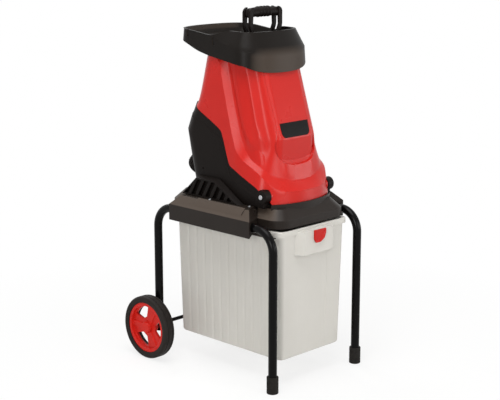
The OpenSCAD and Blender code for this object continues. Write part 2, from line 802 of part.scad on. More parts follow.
module chute_housing() {
    bar_w = 118;
    bar_t = 30;
    boss_gap = 1.5;
    reach = 50;
    spindle_gap = 2;
    color(red) difference() {
        union() {
            on_deck() difference() {
                shell(concat([for (k = [0 : 7]) chute_ring(k, 0)],
                    [for (k = [7 : -1 : 0]) chute_ring(k, chute_wall)]));
                both() translate([0, hinge[0], hinge[1]]) cross_bar(hinge_in - slide_gap,
                    hinge_in + reach, boss_d / 2 + boss_gap);
                both() translate([hinge_in - slide_gap, hinge[0] - boss_d / 2 - 4, -5]) cube([reach,
                    boss_d + 6, hinge[1] + 5]);
            }
            at_hinge() cross_bar(ear_in, hinge_in - slide_gap, boss_d / 2 - 2);
            on_cut() translate([-bar_w, lock_s - bar_t / 2, bar_low]) cube([2 * bar_w, bar_t,
                bar_high - bar_low]);
        }
        at_hinge() cross_bar(ear_in - 1, hinge_in, hinge_pin_d / 2 + run_gap);
        on_cut() translate([0, lock_s, bar_low - 1]) cylinder(h = bar_high - bar_low + 2,
            r = spindle_d / 2 + spindle_gap);
    }
}

// Squared ring of the throat, drawn out by a distance
function throat_ring(d, h) = both_sides([for (p = half_oval(throat_w / 2 + d, throat[0] - d,
    throat[0] + throat_round, throat[1] - throat_round, throat[1] + d, 0.45)) [p[0], p[1], h]]);

// Lower ring of the liner, on a plane that stands off the cutting plane
function cutter_ring(d) = let (stand = 4, a = 60 + d, rise = tan(cut_tilt)) both_sides([
    for (p = half_oval(a, -70 - d, -48, -8, 14 + d, 0.45)) [p[0], p[1],
        hinge[1] + (p[1] - hinge[0]) * rise + stand / cos(cut_tilt)]]);

module chute_liner() {
    wall = 2.5;
    color(black) on_deck() shell([cutter_ring(wall), throat_ring(wall, spout_low - seat_gap),
        throat_ring(0, spout_low - seat_gap),
        cutter_ring(0)]);
}

function hopper_half(d) = half_oval(hopper_w / 2 - d, hopper_front + d,
    hopper_front + hopper_round, hopper_rear - hopper_round, hopper_rear - d, hopper_power);
function hopper_ring(table, d, up = 0) = both_sides([for (p = hopper_half(d)) [p[0], p[1], lookup(p[1],
    table) + up]]);

// Rim ring, drawn in over the hood at the front and level with the tray at the rear
function hood_ring(d) = both_sides([for (i = [0 : len(hopper_half(0)) - 1]) let (
        q = hopper_half(0)[i], k = lookup(q[1], hood_in) + d, p = hopper_half(k)[i])
    [p[0], p[1], lookup(q[1], hopper_rim)]]);

// Seat ring on the top edge of the tower
function seat_half(d) = half_oval(106 + d, -84 - d, -46, 52, 94 + d, 0.6);
function seat_ring(d, up) = both_sides([for (p = seat_half(d)) [p[0], p[1], chute_top + up]]);

module feed_hopper() {
    skirt = 3;
    rim = 6;
    seat = chute_top + seat_gap;
    seat_t = 8;
    step = 4;
    bridge_w = 222;
    bridge_l = 48;
    color(black) on_deck() {
        shell([hopper_ring(hopper_low, 0), hopper_ring(hopper_mid, hopper_lean), hood_ring(0),
            hood_ring(rim), hopper_ring(hopper_floor, floor_in), throat_ring(0, seat + seat_t),
            throat_ring(0, spout_low), throat_ring(skirt, spout_low), throat_ring(skirt, seat),
            seat_ring(0, seat_gap), seat_ring(step, step),
            hopper_ring(hopper_floor, hopper_lean + skirt, -floor_t), hopper_ring(hopper_low, skirt)]);
        difference() {
            translate([-bridge_w / 2, pusher_y - bridge_l / 2, guide_h])
                cube([bridge_w, bridge_l, guide_t]);
            translate([-blade_w / 2 - slide_gap, pusher_y - blade_t / 2 - slide_gap, guide_h - 1])
                cube([blade_w + 2 * slide_gap, blade_t + 2 * slide_gap, guide_t + 2]);
        }
    }
}

module pusher() {
    rail = 7;
    foot_w = blade_w - 4;
    top = grip_h + grip_d / 2;
    blade_low = 190;
    post_w = 12;
    root_w = 14;
    knee = handle_low + 0.63 * finger_gap;
    color(black) on_deck() translate([0, pusher_y, 0]) {
        translate([-blade_w / 2, -blade_t / 2, blade_low]) cube([blade_w, blade_t,
            handle_low - blade_low]);
        translate([-blade_w / 2 - 6, -blade_t / 2 - 5, handle_low - stop_t])
            cube([blade_w + 12, blade_t + 10, stop_t]);
        translate([0, 0, grip_h]) cross_bar(-handle_w / 2 + 6, handle_w / 2 - 6, grip_d / 2 - 3);
        translate([0, 0, grip_h]) for (x = [-18 : 12 : 18]) cross_bar(x - 3, x + 3, grip_d / 2);
        both() for (y = [-1, 1]) translate([0, y * (grip_d / 2 - rail / 2) + rail / 2, 0]) rotate([90,
            0, 0]) linear_extrude(rail)
            polygon([[foot_w / 2 - root_w, handle_low - 1], [foot_w / 2, handle_low - 1],
                [handle_w / 2, knee], [handle_w / 2, top - 3], [handle_w / 2 - post_w, top],
                [handle_w / 2 - post_w, knee]]);
    }
}

// Lock

module locking_knob() {
    color(black) on_cut() translate([0, lock_s, knob_near - knob_l]) difference() {
        union() {
            cylinder(h = knob_l, r = knob_d / 2 - 2);
            for (k = [0 : knob_ribs - 1]) rotate([0, 0, k * 360 / knob_ribs])
                translate([knob_d / 2 - 4, -1.5, 4]) cube([4, 3, knob_l - 8]);
        }
        translate([0, 0, 12]) cylinder(h = knob_l, r = spindle_d / 2 + seat_gap);
    }
}

module knob_spindle() {
    color(steel) on_cut() translate([0, lock_s, knob_near - knob_l + 12 + seat_gap])
        cylinder(h = lock_tip - knob_near + knob_l - 12 - seat_gap, r = spindle_d / 2);
}

// Motor and cutter, stacked along the axis that stands off the cutting plane

module on_axis(n) {
    on_cut() translate([0, disc_s, n]) children();
}

bearing_r = shaft_d / 2 + 6;
can_top = plate_n - seat_gap;
can_low = can_top - motor_l;
shield_t = 14;
shaft_low = can_low - shield_t + 3;

module upper_bearing() {
    color(steel) on_axis(plate_n) difference() {
        cylinder(h = plate_t, r = bearing_r - seat_gap);
        translate([0, 0, -1]) cylinder(h = plate_t + 2, r = shaft_d / 2 + run_gap);
    }
}

module lower_bearing() {
    color(steel) on_axis(can_low - 8) difference() {
        cylinder(h = 7, r = bearing_r - seat_gap);
        translate([0, 0, -1]) cylinder(h = 9, r = shaft_d / 2 + run_gap);
    }
}

module motor_can() {
    wall = 5;
    color("#8d9094") on_axis(can_low) difference() {
        cylinder(h = motor_l, r = motor_d / 2);
        translate([0, 0, -1]) cylinder(h = motor_l - 3, r = motor_d / 2 - wall);
        cylinder(h = motor_l + 1, r = bearing_r + 3);
        for (k = [0 : 7]) rotate([0, 0, k * 45]) translate([motor_d / 2 - 3, -5, 10]) cube([6, 10, 26]);
    }
}

module motor_end_shield() {
    color("#8d9094") on_axis(can_low - shield_t) difference() {
        cylinder(h = shield_t - seat_gap, r = motor_d / 2);
        translate([0, 0, 5]) cylinder(h = shield_t, r = bearing_r);
        translate([0, 0, -1]) cylinder(h = shield_t, r = shaft_d / 2 + 2);
    }
}

module motor_shaft() {
    color(steel) on_axis(shaft_low) cylinder(h = disc_n + disc_t - shaft_low, r = shaft_d / 2);
}

module cooling_fan() {
    fan_r = motor_d / 2 - 8;
    color("#303030") on_axis(can_low + 12) difference() {
        union() {
            cylinder(h = 3, r = fan_r);
            cylinder(h = 14, r = shaft_d / 2 + 5);
            for (k = [0 : fan_blades - 1]) rotate([0, 0,
                k * 360 / fan_blades]) translate([shaft_d / 2 + 3, -1, 2])
                cube([fan_r - shaft_d / 2 - 4, 2, 11]);
        }
        translate([0, 0, -1]) cylinder(h = 20, r = shaft_d / 2 + seat_gap);
    }
}

module cutter_disc() {
    slot = [46, 12];
    color(steel) on_axis(disc_n) difference() {
        union() {
            cylinder(h = disc_t, r = disc_d / 2);
            translate([0, 0, plate_n + plate_t - disc_n + 2])
                cylinder(h = disc_n - plate_n - plate_t - 1, r = shaft_d / 2 + 5);
        }
        translate([0, 0, -40]) cylinder(h = 80, r = shaft_d / 2 + seat_gap);
        for (k = [0, 180]) rotate([0, 0, k]) translate([26, 9, -1]) cube([slot[0], slot[1], disc_t + 2]);
    }
}

module cutter_blades() {
    color("#d5d7da") on_axis(disc_n + disc_t + seat_gap) for (k = [0, 180]) rotate([0, 0,
        k]) rotate([90, 0, 90])
        translate([0, 0, 24]) linear_extrude(50) polygon([[-16, 0], [10, 0], [3, 3.5], [-16, 3.5]]);
}

module disc_bolt() {
    color(steel) on_axis(disc_n + disc_t + seat_gap) {
        cylinder(h = 2, r = shaft_d / 2 + 5);
        cylinder(h = 3.4, r = shaft_d / 2 + 1, $fn = 6);
    }
}

// Switch on the far side

switch_y = 6;
switch_low = 74;
switch_x = 126.2;
button_y = [switch_l * 0.28, switch_l * 0.72];
button_z = switch_h * 0.62;
button_out = 4;
reset_d = 9;

module at_switch() {
    on_deck() translate([switch_x, switch_y, switch_low]) children();
}

module switch_box() {
    color(black) at_switch() difference() {
        cube([switch_d, switch_l, switch_h]);
        translate([switch_d - 10, 0, 0]) {
            for (y = button_y) translate([0, y, button_z]) cross_bar(0, 20, button_d / 2 + slide_gap);
            translate([0, switch_l / 2, switch_h * 0.22]) cross_bar(0, 20, reset_d / 2 + slide_gap);
        }
        translate([switch_d / 2, switch_l - 13, -1]) cylinder(h = 15, r = 9);
    }
}

module push_button(y, z, d) {
    at_switch() translate([switch_d - 5, y, z]) cross_bar(0, 5 + button_out, d / 2);
}

module on_button() {
    color("#2f8f45") push_button(button_y[0], button_z, button_d);
}

module off_button() {
    color(red) push_button(button_y[1], button_z, button_d);
}

module reset_button() {
    color("#303030") push_button(switch_l / 2, switch_h * 0.22, reset_d);
}

module power_inlet() {
    color("#303030") at_switch() translate([switch_d / 2, switch_l - 13, -6]) difference() {
        cylinder(h = 19.5, r = 9 - seat_gap);
        translate([0, 0, -1]) cylinder(h = 14, r = 7);
    }
}

base_deck();
left_leg();
right_leg();
rubber_feet();
leg_bolts();
axle();
left_rim();
right_rim();
left_tyre();
right_tyre();
left_hub_cap();
right_hub_cap();
bin();
bin_latch();
bin_switch();
motor_housing();
left_vent();
right_vent();
hinge_pins();
chute_housing();
chute_liner();
feed_hopper();
pusher();
locking_knob();
knob_spindle();
motor_can();
motor_end_shield();
motor_shaft();
cooling_fan();
upper_bearing();
lower_bearing();
cutter_disc();
cutter_blades();
disc_bolt();
switch_box();
on_button();
off_button();
reset_button();
power_inlet();
deck_screws();
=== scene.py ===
import json
import math

import bmesh
import bpy
import numpy as np
from mathutils import Matrix, Vector


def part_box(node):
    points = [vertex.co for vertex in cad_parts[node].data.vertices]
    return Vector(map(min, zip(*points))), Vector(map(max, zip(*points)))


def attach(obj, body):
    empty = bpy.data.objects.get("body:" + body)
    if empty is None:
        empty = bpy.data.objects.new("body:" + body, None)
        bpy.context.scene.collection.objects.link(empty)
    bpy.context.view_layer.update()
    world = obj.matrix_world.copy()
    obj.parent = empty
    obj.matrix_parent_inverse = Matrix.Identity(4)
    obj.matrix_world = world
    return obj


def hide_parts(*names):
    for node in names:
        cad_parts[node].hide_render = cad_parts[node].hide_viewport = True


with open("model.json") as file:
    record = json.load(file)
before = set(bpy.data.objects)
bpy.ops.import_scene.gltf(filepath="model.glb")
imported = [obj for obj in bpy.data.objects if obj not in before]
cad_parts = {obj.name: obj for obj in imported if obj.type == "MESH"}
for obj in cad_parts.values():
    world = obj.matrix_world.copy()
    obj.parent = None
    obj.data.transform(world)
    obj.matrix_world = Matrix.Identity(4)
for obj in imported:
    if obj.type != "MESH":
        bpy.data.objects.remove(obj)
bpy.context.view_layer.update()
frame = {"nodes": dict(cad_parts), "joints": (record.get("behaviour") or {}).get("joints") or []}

# Camera: a long lens to the front left of the machine, a little above its middle, as in the photograph.
# It looks down by about 13 degrees, so the deck shows its shoulder and the bin its front and left side.
camera = bpy.data.objects.new("camera", bpy.data.cameras.new("camera"))
camera.data.lens = 92.55
camera.data.sensor_width = 36.0
camera.location = (-2.342, -2.331, 1.175)
aim = Vector((0.24996, 0.23717, 0.35156))
camera.rotation_euler = (aim - camera.location).to_track_quat("-Z", "Y").to_euler()
bpy.context.scene.collection.objects.link(camera)
bpy.context.scene.camera = camera
bpy.context.scene.view_settings.view_transform = "Standard"


# Studio: a white paper floor that runs on into a white surround, lit by five large soft boxes.
# The camera and mirror-like surfaces see plain white, and the paper keeps a faint shadow.
def add(tree, kind, settings={}, inputs={}):
    """Adds a node, sets its own settings, and feeds its inputs from values or from other nodes' outputs."""
    made = tree.nodes.new(kind)
    for name, value in settings.items():
        setattr(made, name, value)
    for name, value in inputs.items():
        if isinstance(value, bpy.types.NodeSocket):
            tree.links.new(value, made.inputs[name])
        else:
            made.inputs[name].default_value = value
    return made


def linear(code):
    """Linear colour of an sRGB hex value."""
    parts = [int(code[k:k + 2], 16) / 255 for k in (1, 3, 5)]
    return [c / 12.92 if c <= 0.04045 else ((c + 0.055) / 1.055) ** 2.4 for c in parts] + [1.0]


def seen_directly(tree):
    """1 for rays that come from the camera, a mirror-like surface or a clear one, and 0 for lighting."""
    path = add(tree, "ShaderNodeLightPath").outputs
    either = add(tree, "ShaderNodeMath", {"operation": "MAXIMUM"}, {
        0: path["Is Camera Ray"], 1: path["Is Glossy Ray"]})
    return add(tree, "ShaderNodeMath", {"operation": "MAXIMUM"}, {
        0: either.outputs[0], 1: path["Is Transmission Ray"]}).outputs[0]


def new_material(name):
    """Material with an empty node tree, and that tree."""
    made = bpy.data.materials.new(name)
    made.use_nodes = True
    made.node_tree.nodes.clear()
    return made, made.node_tree


def circle(r, n=48):
    """Corners of a round outline."""
    return [(r * math.cos(a), r * math.sin(a)) for a in np.linspace(0, 2 * math.pi, n + 1)[:-1]]


room_light, plain_white = 0.26, 1.0
surround = bpy.data.worlds.new("white_surround")
surround.use_nodes = True
tree = surround.node_tree
tree.nodes.clear()
level = add(tree, "ShaderNodeMapRange", {}, {
    "Value": seen_directly(tree), "To Min": room_light, "To Max": plain_white})
sky = add(tree, "ShaderNodeBackground", {}, {"Color": linear("#ffffff"), "Strength": level.outputs[0]})
add(tree, "ShaderNodeOutputWorld", {}, {"Surface": sky.outputs[0]})
bpy.context.scene.world = surround

# Matt paper: plain white away from the machine, with a little of its own shadow let through beside it.
shadow_r, white_r, shadow_white, floor_r = 0.25, 1.1, 0.78, 14.0
paper, tree = new_material("white_backdrop_paper")
matt = add(tree, "ShaderNodeBsdfDiffuse", {}, {"Color": linear("#f4f4f2")})
glow = add(tree, "ShaderNodeEmission", {}, {"Color": linear("#ffffff"), "Strength": plain_white})
place = add(tree, "ShaderNodeTexCoord").outputs["Object"]
away = add(tree, "ShaderNodeVectorMath", {"operation": "LENGTH"}, {0: place})
fade = add(tree, "ShaderNodeMapRange", {}, {
    "Value": away.outputs["Value"], "From Min": shadow_r, "From Max": white_r,
    "To Min": shadow_white, "To Max": plain_white})
share = add(tree, "ShaderNodeMath", {"operation": "MULTIPLY"}, {0: seen_directly(tree), 1: fade.outputs[0]})
blend = add(tree, "ShaderNodeMixShader", {}, {0: share.outputs[0], 1: matt.outputs[0], 2: glow.outputs[0]})
add(tree, "ShaderNodeOutputMaterial", {}, {"Surface": blend.outputs[0]})
floor_mesh = bpy.data.meshes.new("paper_floor")
floor_edge = [(x, y, 0.0) for x, y in circle(floor_r)]
floor_mesh.from_pydata(floor_edge, [], [list(range(len(floor_edge)))])
floor_mesh.materials.append(paper)
floor = bpy.data.objects.new("paper_floor", floor_mesh)
bpy.context.scene.collection.objects.link(floor)

machine_middle = Vector((0, -0.05, 0.5))
for name, place, size, power in (("front_soft_box", (0.2, -3.5, 1.3), 1.5, 28.0),
                                 ("left_soft_box", (-3.0, -1.5, 1.3), 1.2, 37.0),
                                 ("right_soft_box", (2.4, -2.3, 0.7), 1.0, 16.0),
                                 ("top_soft_box", (-0.6, -0.4, 2.6), 1.6, 42.0),
                                 ("rear_soft_box", (0.5, 2.2, 2.7), 1.4, 26.0)):
    lamp = bpy.data.objects.new(name, bpy.data.lights.new(name, "AREA"))
    lamp.data.size = size
    lamp.data.energy = power
    lamp.location = place
    lamp.rotation_euler = (machine_middle - lamp.location).to_track_quat("-Z", "Y").to_euler()
    bpy.context.scene.collection.objects.link(lamp)


# Leg tubes: two hoops of 22 mm steel tube, each bent twice at a 55 mm radius, dipped in gloss black enamel.
# They carry the deck on their level stretch. The right hoop is the left one's twin.
def new_piece(name, points, faces, edges=()):
    """Object with its place in its mesh, from points in metres."""
    mesh = bpy.data.meshes.new(name)
    mesh.from_pydata([tuple(p) for p in points], [tuple(e) for e in edges], [tuple(f) for f in faces])
    piece = bpy.data.objects.new(name, mesh)
    bpy.context.scene.collection.objects.link(piece)
    return piece


def plain_mesh(piece):
    """Replaces a piece's mesh by what its modifiers make of it."""
    bpy.context.view_layer.update()
    made = bpy.data.meshes.new_from_object(piece.evaluated_get(bpy.context.evaluated_depsgraph_get()))
    old = piece.data
    piece.modifiers.clear()
    piece.data = made
    bpy.data.meshes.remove(old)
    made.name = piece.name


def settle(piece, material, body, nodes=(), sharp=34):
    """Finishes a piece: plain mesh, smooth up to an edge angle, flat faces kept flat, fixed to its body."""
    plain_mesh(piece)
    mesh = piece.data
    mesh.materials.clear()
    mesh.materials.append(material)
    mesh.polygons.foreach_set("material_index", [0] * len(mesh.polygons))
    mesh.polygons.foreach_set("use_smooth", [True] * len(mesh.polygons))
    mesh.set_sharp_from_angle(angle=math.radians(sharp))
    piece.modifiers.new("flat_faces", "WEIGHTED_NORMAL").keep_sharp = True
    plain_mesh(piece)
    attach(piece, body)
    if nodes:
        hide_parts(*nodes)


def new_tree(name, sizes):
    """Geometry node tree with a geometry input and named size inputs, and its input node's outputs."""
    tree = bpy.data.node_groups.new(name, "GeometryNodeTree")
    tree.interface.new_socket("Geometry", in_out="INPUT", socket_type="NodeSocketGeometry")
    for label, kind in sizes.items():
        tree.interface.new_socket(label, in_out="INPUT", socket_type="NodeSocket" + kind)
    tree.interface.new_socket("Geometry", in_out="OUTPUT", socket_type="NodeSocketGeometry")
    return tree, tree.nodes.new("NodeGroupInput").outputs


def grow(piece, tree, **values):
    """Runs a tree on a piece, with its inputs set by their labels, and keeps the plain mesh."""
    run = piece.modifiers.new(tree.name, "NODES")
    run.node_group = tree
    for item in tree.interface.items_tree:
        if item.in_out == "INPUT" and item.name in values:
            run[item.identifier] = values[item.name]
    plain_mesh(piece)


def enamel(name, code):
    """Dipped gloss enamel on steel: deep colour under a mirror-like coat with a slow orange-peel ripple."""
    ripple_w, dust_w = 0.009, 0.05
    made, tree = new_material(name)
    place = add(tree, "ShaderNodeTexCoord").outputs["Object"]
    peel = add(tree, "ShaderNodeTexNoise", {}, {"Vector": place, "Scale": 1 / ripple_w, "Detail": 1.0})
    bump = add(tree, "ShaderNodeBump", {}, {"Height": peel.outputs[0], "Strength": 0.25, "Distance": 0.0001})
    dust = add(tree, "ShaderNodeTexNoise", {}, {"Vector": place, "Scale": 1 / dust_w, "Detail": 4.0})
    rough = add(tree, "ShaderNodeMapRange", {}, {"Value": dust.outputs[0], "To Min": 0.16, "To Max": 0.26})
    coat = add(tree, "ShaderNodeBsdfPrincipled", {}, {
        "Base Color": linear(code), "Roughness": rough.outputs[0], "Specular IOR Level": 0.1,
        "Normal": bump.outputs[0]})
    add(tree, "ShaderNodeOutputMaterial", {}, {"Surface": coat.outputs[0]})
    return made


tree, sizes = new_tree("bent_tube", {"Tube radius": "Float", "Bend radius": "Float"})
path = add(tree, "GeometryNodeMeshToCurve", {}, {0: sizes["Geometry"]})
bent = add(tree, "GeometryNodeFilletCurve", {"mode": "POLY"}, {
    "Curve": path.outputs[0], "Count": 16, "Radius": sizes["Bend radius"]})
section = add(tree, "GeometryNodeCurvePrimitiveCircle", {}, {
    "Resolution": 40, "Radius": sizes["Tube radius"]})
tube = add(tree, "GeometryNodeCurveToMesh", {}, {
    "Curve": bent.outputs[0], "Profile Curve": section.outputs[0], "Fill Caps": True})
whole = add(tree, "GeometryNodeRealizeInstances", {}, {0: tube.outputs[0]})
leg_enamel = enamel("black_enamel_on_steel_tube", "#080707")
dipped = add(tree, "GeometryNodeSetMaterial", {}, {"Geometry": whole.outputs[0], "Material": leg_enamel})
add(tree, "NodeGroupOutput", {}, {0: dipped.outputs[0]})
tube_r, bend_r, axle_end_z = 0.011, 0.055, 0.068
leg_low, leg_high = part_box("right_leg")
leg_x, rail_z = leg_high[0] - tube_r, leg_high[2] - tube_r
front_y, rear_y = leg_low[1] + tube_r, leg_high[1] - tube_r
for side, name in ((-1, "left_leg"), (1, "right_leg")):
    x = side * leg_x
    bends = [(x, front_y, leg_low[2]), (x, front_y, rail_z), (x, rear_y, rail_z), (x, rear_y, axle_end_z)]
    leg = new_piece(name + "_tube", bends, [], [(0, 1), (1, 2), (2, 3)])
    grow(leg, tree, **{"Tube radius": tube_r, "Bend radius": bend_r})
    settle(leg, leg_enamel, "stand", [name])


# Rubber feet: moulded caps pushed over the front tube ends, matt and slightly grey.
# Two shallow grip rings run round each.
def rubber(name, code, roughness):
    """Moulded rubber: hardly any sheen, a powdery bloom in patches, and a grain drawn at 2 mm to show."""
    bloom_w, grain_w, bloom_gain, bloom_lift = 0.02, 0.002, 1.9, 0.004
    made, tree = new_material(name)
    place = add(tree, "ShaderNodeTexCoord").outputs["Object"]
    bloom = add(tree, "ShaderNodeTexNoise", {}, {"Vector": place, "Scale": 1 / bloom_w, "Detail": 5.0})
    pale = [min(1.0, c * bloom_gain + bloom_lift) for c in linear(code)[:3]] + [1.0]
    tone = add(tree, "ShaderNodeMix", {"data_type": "RGBA"}, {0: bloom.outputs[0], 6: linear(code), 7: pale})
    grain = add(tree, "ShaderNodeTexNoise", {}, {"Vector": place, "Scale": 1 / grain_w, "Detail": 2.0})
    bump = add(tree, "ShaderNodeBump", {}, {"Height": grain.outputs[0], "Strength": 0.3, "Distance": 0.0002})
    skin = add(tree, "ShaderNodeBsdfPrincipled", {}, {
        "Base Color": tone.outputs[2], "Roughness": roughness, "Specular IOR Level": 0.12,
        "Normal": bump.outputs[0]})
    add(tree, "ShaderNodeOutputMaterial", {}, {"Surface": skin.outputs[0]})
    return made


def lathe(profile, steps, turn):
    """Points and faces of a closed profile of (radius, height) turned about Z, then placed by a matrix."""
    count = len(profile)
    points = [turn @ Vector((r * math.cos(a), r * math.sin(a), z))
              for a in np.linspace(0, 2 * math.pi, steps + 1)[:-1] for r, z in profile]
    faces = [(i * count + k, (i + 1) % steps * count + k,
              (i + 1) % steps * count + (k + 1) % count, i * count + (k + 1) % count)
             for i in range(steps) for k in range(count)]
    return points, faces


def joined(parts):
    """Points and faces of several meshes as one."""
    points, faces = [], []
    for some, made in parts:
        faces += [tuple(i + len(points) for i in f) for f in made]
        points += list(some)
    return points, faces


foot_rubber = rubber("black_moulded_rubber", "#171513", roughness=0.72)
foot_r, ring_r, bore_r, centre_r, foot_h, sole_z = 0.0150, 0.0143, 0.0112, 0.0001, 0.0440, 0.0060
foot_profile = [(centre_r, 0.0), (0.0130, 0.0), (0.0145, 0.0007), (foot_r, 0.0022)]
for ring_z in (0.0135, 0.0300):
    foot_profile += [(foot_r, ring_z - 0.0015), (ring_r, ring_z - 0.0008),
                     (ring_r, ring_z + 0.0008), (foot_r, ring_z + 0.0015)]
foot_profile += [(foot_r, 0.0425), (0.0146, 0.0436), (0.0138, foot_h), (bore_r, foot_h),
                 (bore_r, sole_z), (centre_r, sole_z)]
feet = new_piece("front_rubber_feet", *joined(
    [lathe(foot_profile, 40, Matrix.Translation((side * leg_x, front_y, 0))) for side in (-1, 1)]))
settle(feet, foot_rubber, "stand", ["rubber_feet"], sharp=40)


# Leg bolts and axle: bright zinc-plated bolts that hold the tubes up into the deck, and a black axle rod.
# The plating is slightly cloudy, so it spreads a highlight; the rod is enamelled like the legs.
def plated_steel(name, code, roughness):
    """Plated, cast or ground metal: its own colour, with a cloudy gloss in patches of 6 mm."""
    cloud_w, dulling = 0.006, 0.75
    made, tree = new_material(name)
    place = add(tree, "ShaderNodeTexCoord").outputs["Object"]
    cloud = add(tree, "ShaderNodeTexNoise", {}, {"Vector": place, "Scale": 1 / cloud_w, "Detail": 3.0})
    rough = add(tree, "ShaderNodeMapRange", {}, {
        "Value": cloud.outputs[0], "To Min": roughness - 0.08, "To Max": roughness + 0.1})
    dull = [c * dulling for c in linear(code)[:3]] + [1.0]
    tone = add(tree, "ShaderNodeMix", {"data_type": "RGBA"}, {0: cloud.outputs[0], 6: linear(code), 7: dull})
    metal = add(tree, "ShaderNodeBsdfPrincipled", {}, {
        "Base Color": tone.outputs[2], "Metallic": 1.0, "Roughness": rough.outputs[0]})
    add(tree, "ShaderNodeOutputMaterial", {}, {"Surface": metal.outputs[0]})
    return made


def round_edges(piece, edge_r, steps=2, angle=30):
    """Splits a piece into convex faces, and rounds its edges that are sharper than an angle."""
    work = bmesh.new()
    work.from_mesh(piece.data)
    bmesh.ops.connect_verts_concave(work, faces=work.faces)
    work.to_mesh(piece.data)
    work.free()
    bevel = piece.modifiers.new("round_edges", "BEVEL")
    bevel.width = edge_r
    bevel.segments = steps
    bevel.limit_method = "ANGLE"
    bevel.angle_limit = math.radians(angle)
    bevel.use_clamp_overlap = False


def smoothed(node, name, edge_r=0.0, steps=2):
    """Copy of a CAD solid with its triangles joined, and its edges broken to a small moulded radius."""
    same_point, same_plane = 2e-5, math.radians(0.6)
    mesh = frame["nodes"][node].data.copy()
    work = bmesh.new()
    work.from_mesh(mesh)
    bmesh.ops.remove_doubles(work, verts=work.verts, dist=same_point)
    bmesh.ops.dissolve_limit(work, angle_limit=same_plane, verts=work.verts, edges=work.edges)
    work.to_mesh(mesh)
    work.free()
    piece = bpy.data.objects.new(name, mesh)
    bpy.context.scene.collection.objects.link(piece)
    if edge_r:
        round_edges(piece, edge_r, steps)
    return piece


zinc = plated_steel("zinc_plated_steel", "#bdbfc2", roughness=0.34)
settle(smoothed("leg_bolts", "leg_bolts_plated", 0.0008), zinc, "stand", ["leg_bolts"])
settle(smoothed("axle", "axle_rod", 0.001), leg_enamel, "stand", ["axle"])


# Wheels: red polypropylene rims with three broad spokes, and black tyres moulded on with two tread grooves.
# Each turns freely on the axle rod, and a red cap pressed into the rim covers the rod's end.
def moulded(name, code, shade, roughness, grain_depth, gloss, glow=0.0, painted_sheen_code=None):
    """Injection-moulded plastic: colour that drifts over 80 mm, gloss that varies with it, and a grain.

    The real grain is about 0.3 mm, too fine to show in the render, so it is drawn at 1.6 mm.
    Faces marked by the facing attribute get a paler tone mixed in, a painted sheen that stands in for a
    lamp's light falling on them.
    """
    drift_w, grain_w = 0.08, 0.0016
    made, tree = new_material(name)
    place = add(tree, "ShaderNodeTexCoord").outputs["Object"]
    drift = add(tree, "ShaderNodeTexNoise", {}, {"Vector": place, "Scale": 1 / drift_w, "Detail": 3.0})
    tone = add(tree, "ShaderNodeMix", {"data_type": "RGBA"}, {
        0: drift.outputs[0], 6: linear(code), 7: linear(shade)})
    # Painted sheen: a paler colour mixed in on faces marked as turned towards a lamp.
    if painted_sheen_code:
        mark = add(tree, "ShaderNodeAttribute", {"attribute_name": "painted_sheen"})
        tone = add(tree, "ShaderNodeMix", {"data_type": "RGBA"}, {
            0: mark.outputs["Fac"], 6: tone.outputs[2], 7: linear(painted_sheen_code)})
    rough = add(tree, "ShaderNodeMapRange", {}, {
        "Value": drift.outputs[0], "To Min": roughness - 0.05, "To Max": roughness + 0.06})
    grain = add(tree, "ShaderNodeTexNoise", {}, {"Vector": place, "Scale": 1 / grain_w, "Detail": 2.0})
    bump = add(tree, "ShaderNodeBump", {}, {
        "Height": grain.outputs[0], "Strength": 0.35, "Distance": grain_depth})
    body = add(tree, "ShaderNodeBsdfPrincipled", {}, {
        "Base Color": tone.outputs[2], "Roughness": rough.outputs[0], "Specular IOR Level": gloss,
        "Normal": bump.outputs[0], "Subsurface Weight": glow, "Subsurface Radius": (0.012, 0.012, 0.011)})
    add(tree, "ShaderNodeOutputMaterial", {}, {"Surface": body.outputs[0]})
    return made


# Rims: a clear red with a soft shine. Tyres: a dull black with a dusty bloom.
rim_red = moulded("red_moulded_polypropylene", "#d0251c", "#c32018",
                  roughness=0.36, grain_depth=0.00005, gloss=0.14)
tyre_black = rubber("black_moulded_tyre", "#1a1614", roughness=0.6)
tyre_low, tyre_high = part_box("right_tyre")
wheel_in, tyre_w = tyre_low[0], tyre_high[0] - tyre_low[0]
wheel_y, wheel_r = (tyre_low[1] + tyre_high[1]) / 2, tyre_high[2] / 2
groove_r, barrel_r, rim_r, lip_x, web_x = wheel_r - 0.0012, 0.059, 0.0681, 0.0022, 0.0129
flank = [(0.0735, 0.0006), (0.0790, 0.0), (0.0806, 0.0004), (0.0822, 0.0014), (0.0838, 0.0030),
         (0.0847, 0.0050), (wheel_r, 0.0070), (wheel_r, 0.0090), (groove_r, 0.0095), (groove_r, 0.0109),
         (wheel_r, 0.0114)]
tyre_profile = [(barrel_r, lip_x)] + flank + [(r, tyre_w - x) for r, x in flank[::-1]]
tyre_profile += [(rim_r, tyre_w - lip_x), (rim_r, web_x), (barrel_r, web_x)]
for side, name in ((-1, "left"), (1, "right")):
    outward = Matrix.Rotation(side * math.pi / 2, 4, "Y")
    hub = Matrix.Translation((side * wheel_in, wheel_y, wheel_r)) @ outward
    wheel = name + "_wheel"
    tyre = new_piece(name + "_moulded_tyre", *lathe(tyre_profile, 96, hub))
    settle(tyre, tyre_black, wheel, [name + "_tyre"], sharp=40)
    rim = smoothed(name + "_rim", name + "_spoked_rim", 0.0012)
    settle(rim, rim_red, wheel, [name + "_rim"])
    cap = smoothed(name + "_hub_cap", name + "_axle_cap", 0.0008)
    settle(cap, rim_red, wheel, [name + "_hub_cap"])


